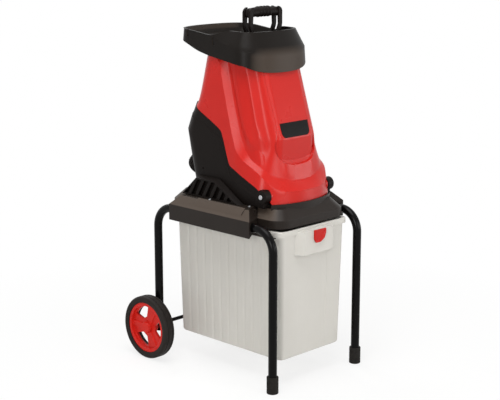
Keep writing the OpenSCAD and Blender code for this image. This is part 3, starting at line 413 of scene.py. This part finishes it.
# Deck: one black polypropylene moulding that drops over the leg tubes, with a sloped shoulder on each side.
# Runners under it carry the bin, and a collar stands round the chute's lip at the front.
# A small switch box of the same plastic inside its nose feels whether the bin is in.
def paint_sheen_by_facing(piece, toward, start, full):
    """Marks how far each face corner turns to a direction, or to its mirror image, from start to full, as
    its share of painted sheen.
    """
    mesh = piece.data
    normals = np.empty(len(mesh.loops) * 3, dtype=np.float32)
    mesh.corner_normals.foreach_get("vector", normals)
    facing = np.abs(normals.reshape(-1, 3)) @ np.array(toward)
    mark = mesh.attributes.new("painted_sheen", "FLOAT", "CORNER")
    mark.data.foreach_set("value", np.clip((facing - start) / (full - start), 0, 1).astype(np.float32))


# Brownish black with a satin sheen, and a paler painted sheen on the sloped shoulders, where the light from
# above falls.
deck_black = moulded("black_moulded_polypropylene", "#231d19", "#1e1814",
                     roughness=0.4, grain_depth=0.00006, gloss=0.16, painted_sheen_code="#4a4038")
deck = smoothed("base_deck", "deck_moulding", 0.00035)
settle(deck, deck_black, "stand", ["base_deck"], sharp=30)
# Paints a paler sheen on faces turned both up and out to a side, as on the shoulders, where the top light
# falls.
paint_sheen_by_facing(deck, toward=(0.72, 0, 0.69), start=0.85, full=0.97)
settle(smoothed("bin_switch", "bin_switch_box", 0.001), deck_black, "stand", ["bin_switch"])


# Deck screws: zinc-plated steel pan heads with a cross recess, driven down into the deck.
# One small head is drawn once and set at each of the four places.
tree, sizes = new_tree("pan_head_screws", {
    "Head radius": "Float", "Head height": "Float", "Recess": "Vector"})
head = add(tree, "GeometryNodeMeshCone", {}, {
    "Vertices": 32, "Radius Top": sizes["Head radius"], "Radius Bottom": sizes["Head radius"],
    "Depth": sizes["Head height"]})
arm = add(tree, "GeometryNodeMeshCube", {}, {"Size": sizes["Recess"]})
second = add(tree, "GeometryNodeTransform", {}, {
    "Geometry": arm.outputs[0], "Rotation": (0, 0, math.pi / 2)})
cross = add(tree, "GeometryNodeMeshBoolean", {"operation": "UNION"}, {"Mesh 2": arm.outputs[0]})
tree.links.new(second.outputs[0], cross.inputs["Mesh 2"])
lift = add(tree, "ShaderNodeCombineXYZ", {}, {"Z": sizes["Head height"]})
raised = add(tree, "GeometryNodeTransform", {}, {
    "Geometry": cross.outputs[0], "Translation": lift.outputs[0]})
driven = add(tree, "GeometryNodeMeshBoolean", {"operation": "DIFFERENCE"}, {
    "Mesh 1": head.outputs[0], "Mesh 2": raised.outputs[0]})
heads = add(tree, "GeometryNodeInstanceOnPoints", {}, {
    "Points": sizes["Geometry"], "Instance": driven.outputs[0]})
whole = add(tree, "GeometryNodeRealizeInstances", {}, {0: heads.outputs[0]})
plated = add(tree, "GeometryNodeSetMaterial", {}, {"Geometry": whole.outputs[0], "Material": zinc})
add(tree, "NodeGroupOutput", {}, {0: plated.outputs[0]})
screw_holes = [(side * x, y, z) for x, y, z in ((0.131, -0.1384, 0.4551), (0.149, -0.015, 0.4563))
               for side in (-1, 1)]
screws = new_piece("deck_screw_heads", screw_holes, [])
grow(screws, tree, **{"Head radius": 0.0038, "Head height": 0.0019, "Recess": (0.0044, 0.0011, 0.0022)})
round_edges(screws, 0.0004, 2, 60)
settle(screws, zinc, "stand", ["deck_screws"])


# Bin: a thin-walled box of natural polypropylene, milky and slightly see-through, fluted along its sides.
# A hollow grip pad on its front takes the latch, and its rim slides along the runners.
def both_sides(half):
    """Full ring from its right half, which runs from the front centre to the rear centre."""
    return half + [(-x, y, z) for x, y, z in half[-2:0:-1]]


def prism(outline, low, high, place=Matrix.Identity(4)):
    """Closed solid: an outline in X and Y drawn along Z from low to high, then placed by a matrix."""
    n = len(outline)
    points = [place @ Vector((x, y, z)) for z in (low, high) for x, y in outline]
    sides = [(i, (i + 1) % n, n + (i + 1) % n, n + i) for i in range(n)]
    return points, [tuple(range(n - 1, -1, -1)), tuple(range(n, 2 * n))] + sides


def stack(rings):
    """Closed solid through rings of as many points each, with a flat face at both ends."""
    n, last = len(rings[0]), len(rings) - 1
    faces = [(k * n + i, k * n + (i + 1) % n, (k + 1) * n + (i + 1) % n, (k + 1) * n + i)
             for k in range(last) for i in range(n)]
    ends = [tuple(range(n - 1, -1, -1)), tuple(last * n + i for i in range(n))]
    return [p for ring in rings for p in ring], faces + ends


def cut(piece, parts):
    """Takes closed solids away from a piece."""
    knife = new_piece("knife", *joined(parts))
    taken = piece.modifiers.new("cut", "BOOLEAN")
    taken.operation = "DIFFERENCE"
    taken.solver = "EXACT"
    taken.object = knife
    plain_mesh(piece)
    bpy.data.objects.remove(knife)


def lifted(piece):
    """Points and faces of a piece with its modifiers, and removes the piece."""
    plain_mesh(piece)
    made = ([v.co.copy() for v in piece.data.vertices], [tuple(f.vertices) for f in piece.data.polygons])
    bpy.data.objects.remove(piece)
    return made


bin_x, bin_y, bin_corner, bin_middle = 0.118, 0.191, 0.013, -0.045
panel_edge, flute_pitch, flute_half, flute_margin = 0.0525, 0.029, 0.0034, 0.01
bin_wall, taper, flute_d, panel_d, rim_w = 0.0025, 0.006, 0.0014, 0.0012, 0.008
floor_z, taper_z, pad_foot_z, shoulder_z, rim_low, rim_top = 0.066, 0.072, 0.333, 0.375, 0.389, 0.403


def bin_ring(inset, z, flute, panel):
    """Ring of the bin's wall: rounded corners, flutes along the sides and a sunk panel in front."""
    half_x, half_y = bin_x - inset, bin_y - (inset / 2 if inset < 0 else inset)
    turn_x, turn_y = half_x - bin_corner, half_y - bin_corner
    turns = np.linspace(0, math.pi / 2, 7)
    half = [(x, -half_y + (panel if x < panel_edge else 0)) for x in (0, 0.02, 0.04, 0.052, 0.0535, 0.08)]
    half += [(turn_x + bin_corner * math.sin(t), -turn_y - bin_corner * math.cos(t)) for t in turns]
    for y in np.linspace(flute_margin - turn_y, turn_y - flute_margin, 133):
        groove = sum(math.exp(-((y - k * flute_pitch) / flute_half) ** 4) for k in range(-5, 6))
        half.append((half_x - flute * groove, y))
    half += [(turn_x + bin_corner * math.sin(t), turn_y + bin_corner * math.cos(t)) for t in turns[::-1]]
    half.append((0, half_y))
    return both_sides([(x, y + bin_middle, z) for x, y in half])


def leaning(z):
    """How far the tapered wall stands in at a height."""
    return taper * (shoulder_z - z) / (shoulder_z - taper_z)


# Milky off-white that lets a little light through, with a soft shine.
bin_milky = moulded("natural_polypropylene", "#cfccc6", "#c7c4bd",
                    roughness=0.42, grain_depth=0.00005, gloss=0.35, glow=0.25)
rows = [(taper + 0.005, floor_z, 0, 0), (taper + 0.0025, floor_z + 0.0012, 0.001, 0),
        (taper + 0.0005, floor_z + 0.004, 0.002, 0.0004)]
rows += [(leaning(z), z, flute_d, panel_d) for z in (0.075, 0.15, 0.24, 0.325)]
rows += [(leaning(pad_foot_z), pad_foot_z, flute_d, 0), (0, shoulder_z, flute_d, 0),
         (0, rim_low - 0.003, 0.0004, 0), (-0.0005, rim_low, 0, 0), (0.0005 - rim_w, rim_low, 0, 0),
         (-rim_w, rim_low + 0.0006, 0, 0), (-rim_w, rim_top - 0.0012, 0, 0), (0.0012 - rim_w, rim_top, 0, 0),
         (bin_wall - 0.0008, rim_top, 0, 0), (bin_wall, rim_top - 0.0008, 0, 0),
         (bin_wall, shoulder_z, flute_d, 0), (taper + bin_wall, floor_z + 0.0085, flute_d, 0),
         (taper + bin_wall + 0.004, floor_z + bin_wall, 0, 0)]
box = stack([bin_ring(*row) for row in rows])
pad_half, pad_foot_half, pad_front, pad_back = 0.052, 0.071, -0.255, -0.2345
pad_low, pad_roof, pad_top, pad_wall, cut_past = 0.335, 0.38, 0.396, 0.0025, 0.01


def pad_plan(d):
    """Outline of the grip pad seen from above, drawn in by d."""
    half = [(pad_half - d, pad_front + d), (pad_foot_half - d, pad_back)]
    return [(-pad_half + d, pad_front + d)] + half + [(-pad_foot_half + d, pad_back)]


pad = new_piece("grip_pad", *prism(pad_plan(0), pad_low, pad_top))
cut(pad, [prism(pad_plan(pad_wall), pad_low - cut_past, pad_roof)])
round_edges(pad, 0.0011, 3)
collecting_bin = new_piece("collecting_bin", *joined([box, lifted(pad)]))
settle(collecting_bin, bin_milky, "bin", ["bin"], sharp=38)


# Bin latch: a glossy red ABS slide with a raised rim, clipped into the bin's grip pad.
# It is pushed down by a thumb to free the bin. Its polish gives it a sharp highlight.
latch_red = moulded("red_gloss_abs", "#c41a12", "#b8150e", roughness=0.2, grain_depth=0.00001, gloss=0.2)
settle(smoothed("bin_latch", "bin_latch_slide", 0.001), latch_red, "latch", ["bin_latch"])


# Motor housing: a black polypropylene shell round the rear half, with a stepped flange under the seam.
# It stands on the deck, with a grille of louvres at the foot of each side.
# Bosses at its front take the two zinc-plated hinge pins.
housing = smoothed("motor_housing", "motor_housing_shell", 0.0012)
plain_mesh(housing)
hole_r, hole_y, hole_z, hole_in, hole_out = 0.0024, 0.035, 0.528, 0.120, 0.132
across = Matrix.Rotation(math.pi / 2, 4, "Y")
at_hole = across @ Matrix.Translation((-hole_z, hole_y, 0))
cut(housing, [prism(circle(hole_r, 16), low, high, at_hole)
              for low, high in ((-hole_out, -hole_in), (hole_in, hole_out))])
# Deep black with a grain that keeps highlights broad and faint.
housing_black = moulded("black_grained_polypropylene", "#15100e", "#110d0b",
                        roughness=0.46, grain_depth=0.00008, gloss=0.08)
settle(housing, housing_black, "stand", ["motor_housing"], sharp=30)
for name in ("left_vent", "right_vent"):
    settle(smoothed(name, name + "_louvres", 0.0008), housing_black, "stand", [name])
settle(smoothed("hinge_pins", "hinge_pin_heads", 0.0008), zinc, "stand", ["hinge_pins"])


# Chute housing: glossy red ABS in one moulding. An outer skin follows the seam, and a sloped band steps back
# from its upper edge to a tapering tower, whose front is a flat panel with a sunk tongue.
# Its ears swing on the two hinge pins, and a bar inside it takes the locking spindle.
def along(place, table):
    """Size at a place in a table of (place, size) rows, on straight lines between them."""
    return float(np.interp(place, *zip(*table)))


def mix(a, b, t):
    """Value at a share t of the way from a to b."""
    return a + (b - a) * t


def on_deck(x, y, h):
    """Place in metres of a point in the deck's frame, in mm from the middle of the deck's top."""
    return (x / 1000, (y + deck_y) / 1000, (h + deck_z) / 1000)


def ring_cage(name, rings, creases):
    """Closed shell through rings in the deck's frame, subdivided, with each ring held by its crease."""
    n, m = len(rings[0]), len(rings)
    faces = [(k * n + i, k * n + (i + 1) % n, (k + 1) % m * n + (i + 1) % n, (k + 1) % m * n + i)
             for k in range(m) for i in range(n)]
    piece = new_piece(name, [on_deck(*point) for ring in rings for point in ring], faces)
    held = piece.data.attributes.new("crease_edge", "FLOAT", "EDGE")
    for edge in piece.data.edges:
        a, b = edge.vertices
        if a // n == b // n:
            held.data[edge.index].value = creases[a // n]
    smooth = piece.modifiers.new("smooth", "SUBSURF")
    smooth.levels = 2
    smooth.render_levels = 2
    plain_mesh(piece)
    return piece


deck_y, deck_z = -35, 455
# Heights along the side, as (Y, height): the seam, the upper edge of the skin, and the top of the band.
seam_line = ((-160, 1), (-152, 12), (-139, 31), (-128, 46), (-65, 74), (-26, 94), (-8, 143), (6, 177),
             (42, 198), (90, 221), (128, 240))
ledge_line = ((-190, 36), (-165, 39), (-155, 50), (-133, 77), (-100, 96), (-66, 113), (-49, 130), (-33, 172),
              (-17, 221), (2, 282), (22, 351), (32, 386))
band_line = ((-136, 86), (-112, 100), (-84, 114), (-70, 131), (-54, 154), (-41, 197), (-16, 270), (5, 343),
             (17, 386))
lean_line = ((-190, 2), (-160, 6), (-119, 8), (-69, 4), (-49, 0))
# Sizes up the tower, as (height, size): side, face, sunk floor, half widths of panel and face, corner, rear.
side_line = ((0, 122), (60, 126), (105, 126), (374, 111.2))
face_line = ((57, -160), (97, -150), (130, -145.5), (164, -142.5), (202, -130.5), (321, -93.5), (374, -77.2))
floor_line = ((97, -138.5), (164, -141), (202, -129), (321, -92), (374, -75.7))
panel_half = ((149, 72), (170, 67), (205, 62.5), (325, 66), (374, 68))
face_half = ((57, 60), (97, 66), (149, 64), (205, 62), (325, 65), (374, 67))
spread_line = ((97, 1.0), (130, 1.15), (202, 1.35), (325, 0.9), (374, 0.85))
chute_rear = ((215, 128), (229, 125), (246, 112), (374, 86.2))
# Plan of the tower's front corner: the round corner, the ridge behind it, and where each side station goes.
tower_corner = ((4, 1.9), (8, 4.3), (11.5, 7.1), (14.3, 10), (16, 12.5))
chamfer = ((0, 0), (15, 15.6), (17, 16.2), (19, 15.6))
side_turn = ((-119, 0), (-112, 3), (-104, 9), (-98, 15), (-94, 17), (-90, 19.5), (-80, 28), (-66, 38),
             (-49, 50), (34, 77))
chute_top, chute_wall, step_back, rear_step, corner_r, rear_c = 374, 3, 12, 5, 40, 86
outer_x, lip_y, lip_c, front_steps, flat_steps = 126, 65, -119, 8, 3
crown_from, crown_rate, ridge_low, ridge_fade, ridge_run = 50, 0.025, 85, 40, 46
panel_room, corner_share = 14, 0.6
foot_front, foot_corner, foot_step, foot_slope, foot_top, side_rise = 57, 97, 24, 0.22, 145, 40
ledge_drop, band_drop, band_least, rear_skin, skin_share = 14, 4, 2, 248, 0.3


def front_turn(at):
    """Angle of a front station, from the middle of the front round to the side."""
    return math.radians(at * 90 / front_steps)


def outer_point(kind, at, h, d):
    """Point of the outer skin at a station and a height, drawn in by d."""
    if kind == "front":
        t = front_turn(at)
        return ((outer_x - d) * math.sin(t), lip_c - (lip_y - d) * math.cos(t), h)
    if kind == "side":
        return (along(h, side_line) - d, at, h)
    t = math.radians(at)
    return (0 if at >= 90 else along(h, side_line) - corner_r + (corner_r - d) * math.cos(t),
            along(h, chute_rear) - corner_r + (corner_r - d) * math.sin(t), h)


def crown(x):
    """How far the face falls back from its flat middle towards its edges."""
    return crown_rate * max(0.0, abs(x) - crown_from) ** 2


def tower_point(kind, at, h, d):
    """Point of the tower at a station and a height, drawn in by d."""
    wide = along(h, side_line) - step_back
    face, half, spread = (along(h, table) for table in (face_line, face_half, spread_line))
    fall = face + crown(half)
    corner_x, corner_y = (edge + size * spread for edge, size in zip((half, fall), tower_corner[-1]))
    if kind == "front":
        deep = d and d + panel_room
        if at <= flat_steps:
            x = at / flat_steps * half
            return (x, face + crown(x) + deep, h)
        out, back = tower_corner[at - flat_steps - 1]
        return (half + out * spread - corner_share * d, fall + back * spread + deep, h)
    if kind == "side":
        y = max(at, corner_y + along(at, side_turn))
        ridge = min(1.0, max(0.0, (h - ridge_low) / ridge_fade))
        rate = (wide - corner_x) / ridge_run
        rows = [(run, corner_x + mix(run * rate, out, ridge)) for run, out in chamfer]
        return (min(wide, along(y - corner_y, rows + [(ridge_run, wide)])) - d, y, h)
    t = math.radians(at)
    return (0 if at >= 90 else wide - corner_r + (corner_r - d) * math.cos(t),
            along(h, chute_rear) - rear_step - corner_r + (corner_r - d) * math.sin(t), h)


def chute_column(kind, at, d, shares):
    """Points up the housing at a station: seam, skin, ledge, sloped band, and the tower from its foot up."""
    y = at
    if kind == "front":
        y = lip_c - lip_y * math.cos(front_turn(at))
    if kind == "rear":
        y = rear_c + corner_r * math.sin(math.radians(at))
    low, ledge = along(y, seam_line), min(along(y, ledge_line), chute_top - ledge_drop)
    lean = 0 if kind == "rear" else along(y, lean_line)
    band = max(ledge + band_least, min(along(y, band_line), chute_top - band_drop))
    inset, rise = step_back + lean, side_rise
    if kind == "front":
        band = mix(foot_front, foot_corner, (at / front_steps) ** 1.5)
        inset = mix(foot_step, inset, (at / front_steps) ** 2)
        rise = foot_top - band
    tower = []
    for share in (0,) + shares:
        h = mix(band, chute_top, share)
        point = tower_point(kind, at, h, d)
        if kind != "rear":
            shelf = outer_point(kind, at, h, inset + foot_slope * (h - band) + d)
            risen = min(1.0, (h - band) / rise)
            point = tuple(mix(a, b, risen) for a, b in zip(shelf, point))
        tower.append(point)
    edge = outer_point(kind, at, ledge, lean + d)
    slope = tuple(mix(a, b, 0.5) for a, b in zip(edge, tower[0]))
    skin_h = rear_skin if kind == "rear" else mix(low, ledge, skin_share)
    skin = outer_point(kind, at, skin_h, lean * skin_share + d)
    return [outer_point(kind, at, low, d), skin, edge, slope] + tower


def rectangle(x0, y0, x1, y1):
    """Corners of a rectangle."""
    return [(x0, y0), (x1, y0), (x1, y1), (x0, y1)]


stations = [("front", k / 3) for k in range(10)] + [("front", k) for k in range(4, 9)]
stations += [("side", y) for y in (-112, -104, -98, -94, -90, -80, -66, -49, -40,
                                   -33, -26, -17, -8, 2, 7, 14, 22, 34)]
stations += [("rear", t) for t in range(0, 91, 15)]
shares = (0.03, 0.06, 0.085, 0.105, 0.118, 0.13, 0.142, 0.158, 0.178, 0.2, 0.225, 0.25, 0.275, 0.3, 0.325,
          0.36, 0.4, 0.45, 0.51, 0.58, 0.68, 0.78, 0.87, 0.95, 1)
outside = list(zip(*[chute_column(*s, 0, shares) for s in stations]))
inside = list(zip(*[chute_column(*s, chute_wall, (0.5, 1)) for s in stations]))[::-1]
creases = [1, 0, 1, 0, 1] + [0] * (len(shares) - 1) + [1, 1] + [0] * (len(inside) - 2) + [1]
chute = ring_cage("chute_housing_shell", [both_sides(list(r)) for r in outside + inside], creases)

# The panel and its U-shaped tongue are pressed back into the tower's face.
tongue_low, tongue_half, tongue_rise, tongue_power, edge_run, near = 97, 72, 52, 2.6, 2.5, 2
for vertex in chute.data.vertices:
    x, y, h = abs(vertex.co.x) * 1000, vertex.co.y * 1000 - deck_y, vertex.co.z * 1000 - deck_z
    floor_y = along(h, floor_line) + crown(x)
    if x < tongue_half and h > tongue_low and y < floor_y + near:
        bow = 1 - (1 - (x / tongue_half) ** tongue_power) ** (1 / tongue_power)
        inside_by = min(along(h, panel_half) - x, h - tongue_low - tongue_rise * bow)
        vertex.co.y += min(1.0, max(0.0, inside_by / edge_run)) * (floor_y - y) / 1000

hinge = Vector(next(joint["pos_m"] for joint in frame["joints"] if joint["name"] == "chute_tilt"))
on_hinge = Matrix.Translation(hinge) @ Matrix.Rotation(math.pi / 2, 4, "Y")
boss_r, boss_in, boss_out, boss_front, boss_back, boss_low = 0.0185, 0.1055, 0.156, 0.021, 0.019, 0.45
boss_sides = ((-boss_out, -boss_in), (boss_in, boss_out))
cut(chute, [prism(circle(boss_r), low, high, on_hinge) for low, high in boss_sides])
cut(chute, [prism(rectangle(low, hinge.y - boss_front, high, hinge.y + boss_back), boss_low, hinge.z)
            for low, high in boss_sides])
# A full red with a soft gloss, so that edges and the sloped band carry pale highlights.
housing_red = moulded("red_moulded_abs", "#c1211a", "#b71c15",
                      roughness=0.28, grain_depth=0.00002, gloss=0.22)
settle(chute, housing_red, "upper_unit", ["chute_housing"], sharp=24)

cut_angle, ear_r, ear_in = math.radians(43), 0.015, 0.092
bar_x, bar_low, bar_high, bar_t, bar_hole_r = 0.118, 0.256, 0.286, 0.018, 0.007
on_cut = Matrix.Translation(hinge) @ Matrix.Rotation(cut_angle, 4, "X")
at_bar_hole = on_cut @ Matrix.Translation((0, (bar_low + bar_high) / 2, 0))
ears = [prism(circle(ear_r), low, high, on_hinge) for low, high in ((-boss_in, -ear_in), (ear_in, boss_in))]
inner = new_piece("hinge_ears_and_lock_bar", *joined(
    ears + [prism(rectangle(-bar_x, bar_low, bar_x, bar_high), 0, bar_t, on_cut)]))
cut(inner, [prism(circle(bar_hole_r, 32), -cut_past, bar_t + cut_past, at_bar_hole)])
round_edges(inner, 0.0008)
settle(inner, housing_red, "upper_unit")


# Front plate and throat liner: a gloss black ABS shield let into the panel, slightly proud of it,
# and inside the tower a black liner that leads the branches down to the cutter.
# The shield is smooth enough to mirror the room.
plate_h, plate_half, plate_up, plate_side, plate_draft = 184, 0.051, 0.019, 0.002, 0.0005
turn_x, turn_z, turn_r, plate_sunk, plate_proud = 0.0365, 0.0055, 0.0135, 0.0015, 0.0008
low_h, high_h = 164, 202
plate_lean = math.atan2(along(high_h, floor_line) - along(low_h, floor_line), high_h - low_h)
shield = [(-plate_half, plate_up), (plate_draft - plate_half, plate_side)]
shield += [(-turn_x - turn_r * math.cos(a), -turn_z - turn_r * math.sin(a))
           for a in np.linspace(0, math.pi / 2, 8)]
shield += [(-x, y) for x, y in shield[::-1]]
leaned = Matrix.Rotation(math.pi / 2 - plate_lean, 4, "X")
on_panel = Matrix.Translation(on_deck(0, along(plate_h, floor_line), plate_h)) @ leaned
plate = new_piece("bare_front_plate", *prism(shield, -plate_sunk, plate_proud, on_panel))
round_edges(plate, 0.0005)
plate_black = moulded("gloss_black_abs", "#0d0b0a", "#0a0908",
                      roughness=0.22, grain_depth=0.00001, gloss=0.12)
settle(plate, plate_black, "upper_unit")
liner = smoothed("chute_liner", "chute_throat_liner")
settle(liner, housing_black, "upper_unit", ["chute_liner"])


# Feed hopper: a black moulded funnel clipped over the tower, hooded in front and drawn out to a tray behind.
# Small slots in its sides take the clips.
# A plate with a slot spans its throat and guides the pusher.
def half_oval(plan, d):
    """Right half of an oval in plan, drawn in by d, from the front centre to the rear centre."""
    half_w, front, front_c, rear_c, rear, power = plan
    half_w, front, rear = half_w - d, front + d, rear - d

    def turned(t):
        """Sine and cosine of an angle in degrees, each raised to the power."""
        return [max(0.0, wave(math.radians(t))) ** power for wave in (math.sin, math.cos)]

    points = []
    for t in np.linspace(0, 89.99, 13):
        out, back = turned(t)
        points.append((half_w * out, front_c - (front_c - front) * back))
    points += [(half_w, mix(front_c, rear_c, k / 8)) for k in range(1, 8)]
    for t in np.linspace(0, 90, 11):
        back, out = turned(t)
        points.append((0 if t == 90 else half_w * out, rear_c + (rear - rear_c) * back))
    return points


# Plans: half width, front, both ends of the straight side, rear, and a power, smaller where it is squarer.
hopper_plan = (120, -98, -34, 132, 182, 0.8)
throat_plan = (84, -68, -44, 34, 58, 0.45)
seat_plan = (106, -84, -46, 52, 94, 0.6)
# Heights along the hopper, as (Y, height): lower edge, foot of the hood, rim, floor. Then the hood's lean.
hopper_low = ((-98, 324), (-65, 344), (6, 356), (53, 363), (97, 373), (134, 389), (182, 402))
hopper_mid = ((-98, 376), (-47, 384), (14, 399), (39, 410), (89, 418), (133, 423), (182, 426))
hopper_rim = ((-98, 425), (14, 427), (37, 412), (89, 419), (133, 424), (182, 427))
hopper_floor = ((-98, 385), (-47, 387), (14, 390), (39, 393), (89, 398), (133, 403), (182, 409))
hood_in = ((-98, 28), (-47, 24), (14, 20), (37, 1))
throat_top, throat_low, seat_low, seat_top, throat_wall = 382.1, 328, 374.1, 378, 3


def hopper_ring(table, d, up=0):
    """Ring of the hopper's wall that follows a table of heights."""
    return both_sides([(x, y, along(y, table) + up) for x, y in half_oval(hopper_plan, d)])


def hood_ring(d):
    """Ring of the rim, which leans in over the front to make the hood."""
    return both_sides([half_oval(hopper_plan, along(y, hood_in) + d)[i] + (along(y, hopper_rim),)
                       for i, (x, y) in enumerate(half_oval(hopper_plan, 0))])


def level_ring(plan, out, h):
    """Level ring of a plan that is let out."""
    return both_sides([(x, y, h) for x, y in half_oval(plan, -out)])


hopper = ring_cage("feed_hopper_moulding", [
    hopper_ring(hopper_low, 0), hopper_ring(hopper_mid, 2.5), hood_ring(0), hood_ring(6),
    hopper_ring(hopper_floor, 11.5), level_ring(throat_plan, 0, throat_top),
    level_ring(throat_plan, 0, throat_low), level_ring(throat_plan, throat_wall, throat_low),
    level_ring(throat_plan, throat_wall, seat_low), level_ring(seat_plan, 0, seat_low),
    level_ring(seat_plan, 4, seat_top), hopper_ring(hopper_floor, 5.5, -5), hopper_ring(hopper_low, 3)],
    [1, 1, 1, 1, 0.6, 0.5, 1, 1, 1, 0.7, 0.7, 0.7, 1])
slot_x, slot_w, slot_d, slot_down, slot_up = 0.1165, 0.008, 0.0045, 0.008, 0.02
clip_slots = []
for side in (-1, 1):
    x0, x1 = sorted((side * slot_x, side * (slot_x + slot_d)))
    for y, z in ((0.095, 0.869), (0.002, 0.853)):
        opening = rectangle(x0, y - slot_w / 2, x1, y + slot_w / 2)
        clip_slots.append(prism(opening, z - slot_down, z + slot_up))
cut(hopper, clip_slots)
# Satin black on the hood and the sides, with a paler painted sheen on faces turned to the front or back,
# such as the front band, where the front light falls.
hopper_black = moulded("black_satin_polypropylene", "#181411", "#13100e",
                       roughness=0.38, grain_depth=0.00006, gloss=0.1, painted_sheen_code="#403730")
settle(hopper, hopper_black, "upper_unit", ["feed_hopper"], sharp=26)
# Paints that paler sheen on the faces turned to the front or back.
paint_sheen_by_facing(hopper, toward=(0, 1, -0.3), start=0.77, full=0.95)
guide_x, guide_front, guide_back, guide_low, guide_high = 0.111, -0.079, -0.031, 0.845, 0.849
way_x, way_front, way_back = 0.0455, -0.0685, -0.0415
guide = new_piece("pusher_guide_plate", *prism(
    rectangle(-guide_x, guide_front, guide_x, guide_back), guide_low, guide_high))
way = rectangle(-way_x, way_front, way_x, way_back)
cut(guide, [prism(way, guide_low - cut_past, guide_high + cut_past)])
round_edges(guide, 0.0006)
settle(guide, hopper_black, "upper_unit")


# Pusher: a loose black polypropylene blade that drops through the guide plate until its collar stops it.
# An arched, ribbed grip joins two pairs of thin posts above it, all in one moulding.
pusher_low, pusher_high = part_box("pusher")
pusher_y, half_w, top_z = (pusher_low[1] + pusher_high[1]) / 2, pusher_high[0], pusher_high[2]
grip_z, grip_half, grip_r, grip_arch, end_from, end_run = top_z - 0.014, 0.0565, 0.0118, 0.003, 0.0505, 0.006
rib_h, rib_half, post_low, post_t = 0.0020, 0.0032, 0.8545, 0.007
rings = []
for x in np.linspace(-grip_half, grip_half, 91):
    rib = sum(math.exp(-((x - c) / rib_half) ** 4) for c in (-0.018, -0.006, 0.006, 0.018))
    end = math.sqrt(max(0.02, 1 - max(0.0, (abs(x) - end_from) / end_run) ** 2))
    middle = grip_z + 0.0001 - grip_arch * (x / grip_half) ** 2
    rings.append([(x, pusher_y + u, middle - v) for u, v in circle((grip_r + rib_h * rib) * end, 32)])
post = [(0.029, post_low - 0.001), (0.043, post_low - 0.001), (0.0575, post_low + 0.032),
        (half_w, post_low + 0.040), (half_w, top_z - 0.014), (0.0565, top_z - 0.008),
        (0.051, top_z - 0.0035), (0.045, top_z - 0.002), (0.0455, top_z - 0.02), (0.047, post_low + 0.038)]
upright = Matrix.Translation((0, pusher_y, 0)) @ Matrix.Rotation(math.pi / 2, 4, "X")
posts = [prism(shape, low, low + post_t, upright) for low in (-2 * post_t, post_t)
         for shape in (post, [(-x, z) for x, z in post[::-1]])]
blade_x, blade_y, collar_x, collar_y, collar_t = 0.045, 0.013, 0.051, 0.018, 0.005
blade = [prism(rectangle(-x, pusher_y - y, x, pusher_y + y), low, post_low)
         for x, y, low in ((blade_x, blade_y, pusher_low[2]), (collar_x, collar_y, post_low - collar_t))]
solid = new_piece("pusher_posts", *joined(posts + blade))
round_edges(solid, 0.0016, 3)
pusher = new_piece("pusher_moulding", *joined([stack(rings), lifted(solid)]))
settle(pusher, housing_black, "pusher", ["pusher"], sharp=38)


# Lock: a ribbed black polypropylene knob low on the housing's back, moulded onto a long zinc-plated spindle.
# The spindle screws into the chute's bar and holds the chute shut.
knob = smoothed("locking_knob", "locking_knob_moulding", 0.0006)
settle(knob, housing_black, "lock", ["locking_knob"])
settle(smoothed("knob_spindle", "lock_spindle", 0.0008), zinc, "lock", ["knob_spindle"])


# Motor and cutter: a cast aluminium motor hung under the housing's plate, with a plastic cooling fan.
# Its ground steel shaft runs in two bearings and carries the disc, bolted on, with two bevelled knives.
# Castings look dull and grey, and ground steel bright and almost mirror-like.
cast = plated_steel("cast_aluminium", "#9a9da1", roughness=0.5)
ground = plated_steel("ground_steel", "#c6c8cb", roughness=0.28)
turning = ("motor_shaft", "cutter_disc", "cutter_blades", "disc_bolt")
for names, body, finish, slot in ((("motor_can", "motor_end_shield"), "stand", cast, "aluminium"),
                                  (("upper_bearing", "lower_bearing"), "stand", ground, "steel"),
                                  (turning, "rotor", ground, "steel"),
                                  (("cooling_fan",), "rotor", deck_black, "black_plastic")):
    for name in names:
        settle(smoothed(name, name + "_finished", 0.0005), finish, body, [name])


# Switch: a black moulded box set on the far side of the housing, with an inlet socket under it.
# A green and a red button of gloss ABS, and a small black reset, press into it.
switch_case = smoothed("switch_box", "switch_box_case", 0.002, 3)
settle(switch_case, housing_black, "stand", ["switch_box"])
inlet = smoothed("power_inlet", "power_inlet_socket", 0.0006)
settle(inlet, housing_black, "stand", ["power_inlet"])
# A clear green with a sharp highlight.
button_green = moulded("green_gloss_abs", "#2f8f45", "#28803c",
                       roughness=0.25, grain_depth=0.00001, gloss=0.4)
for name, finish, slot in (("on_button", button_green, "green_plastic"),
                           ("off_button", latch_red, "red_plastic"),
                           ("reset_button", housing_black, "black_plastic")):
    settle(smoothed(name, name + "_cap", 0.001, 3), finish, name, [name])
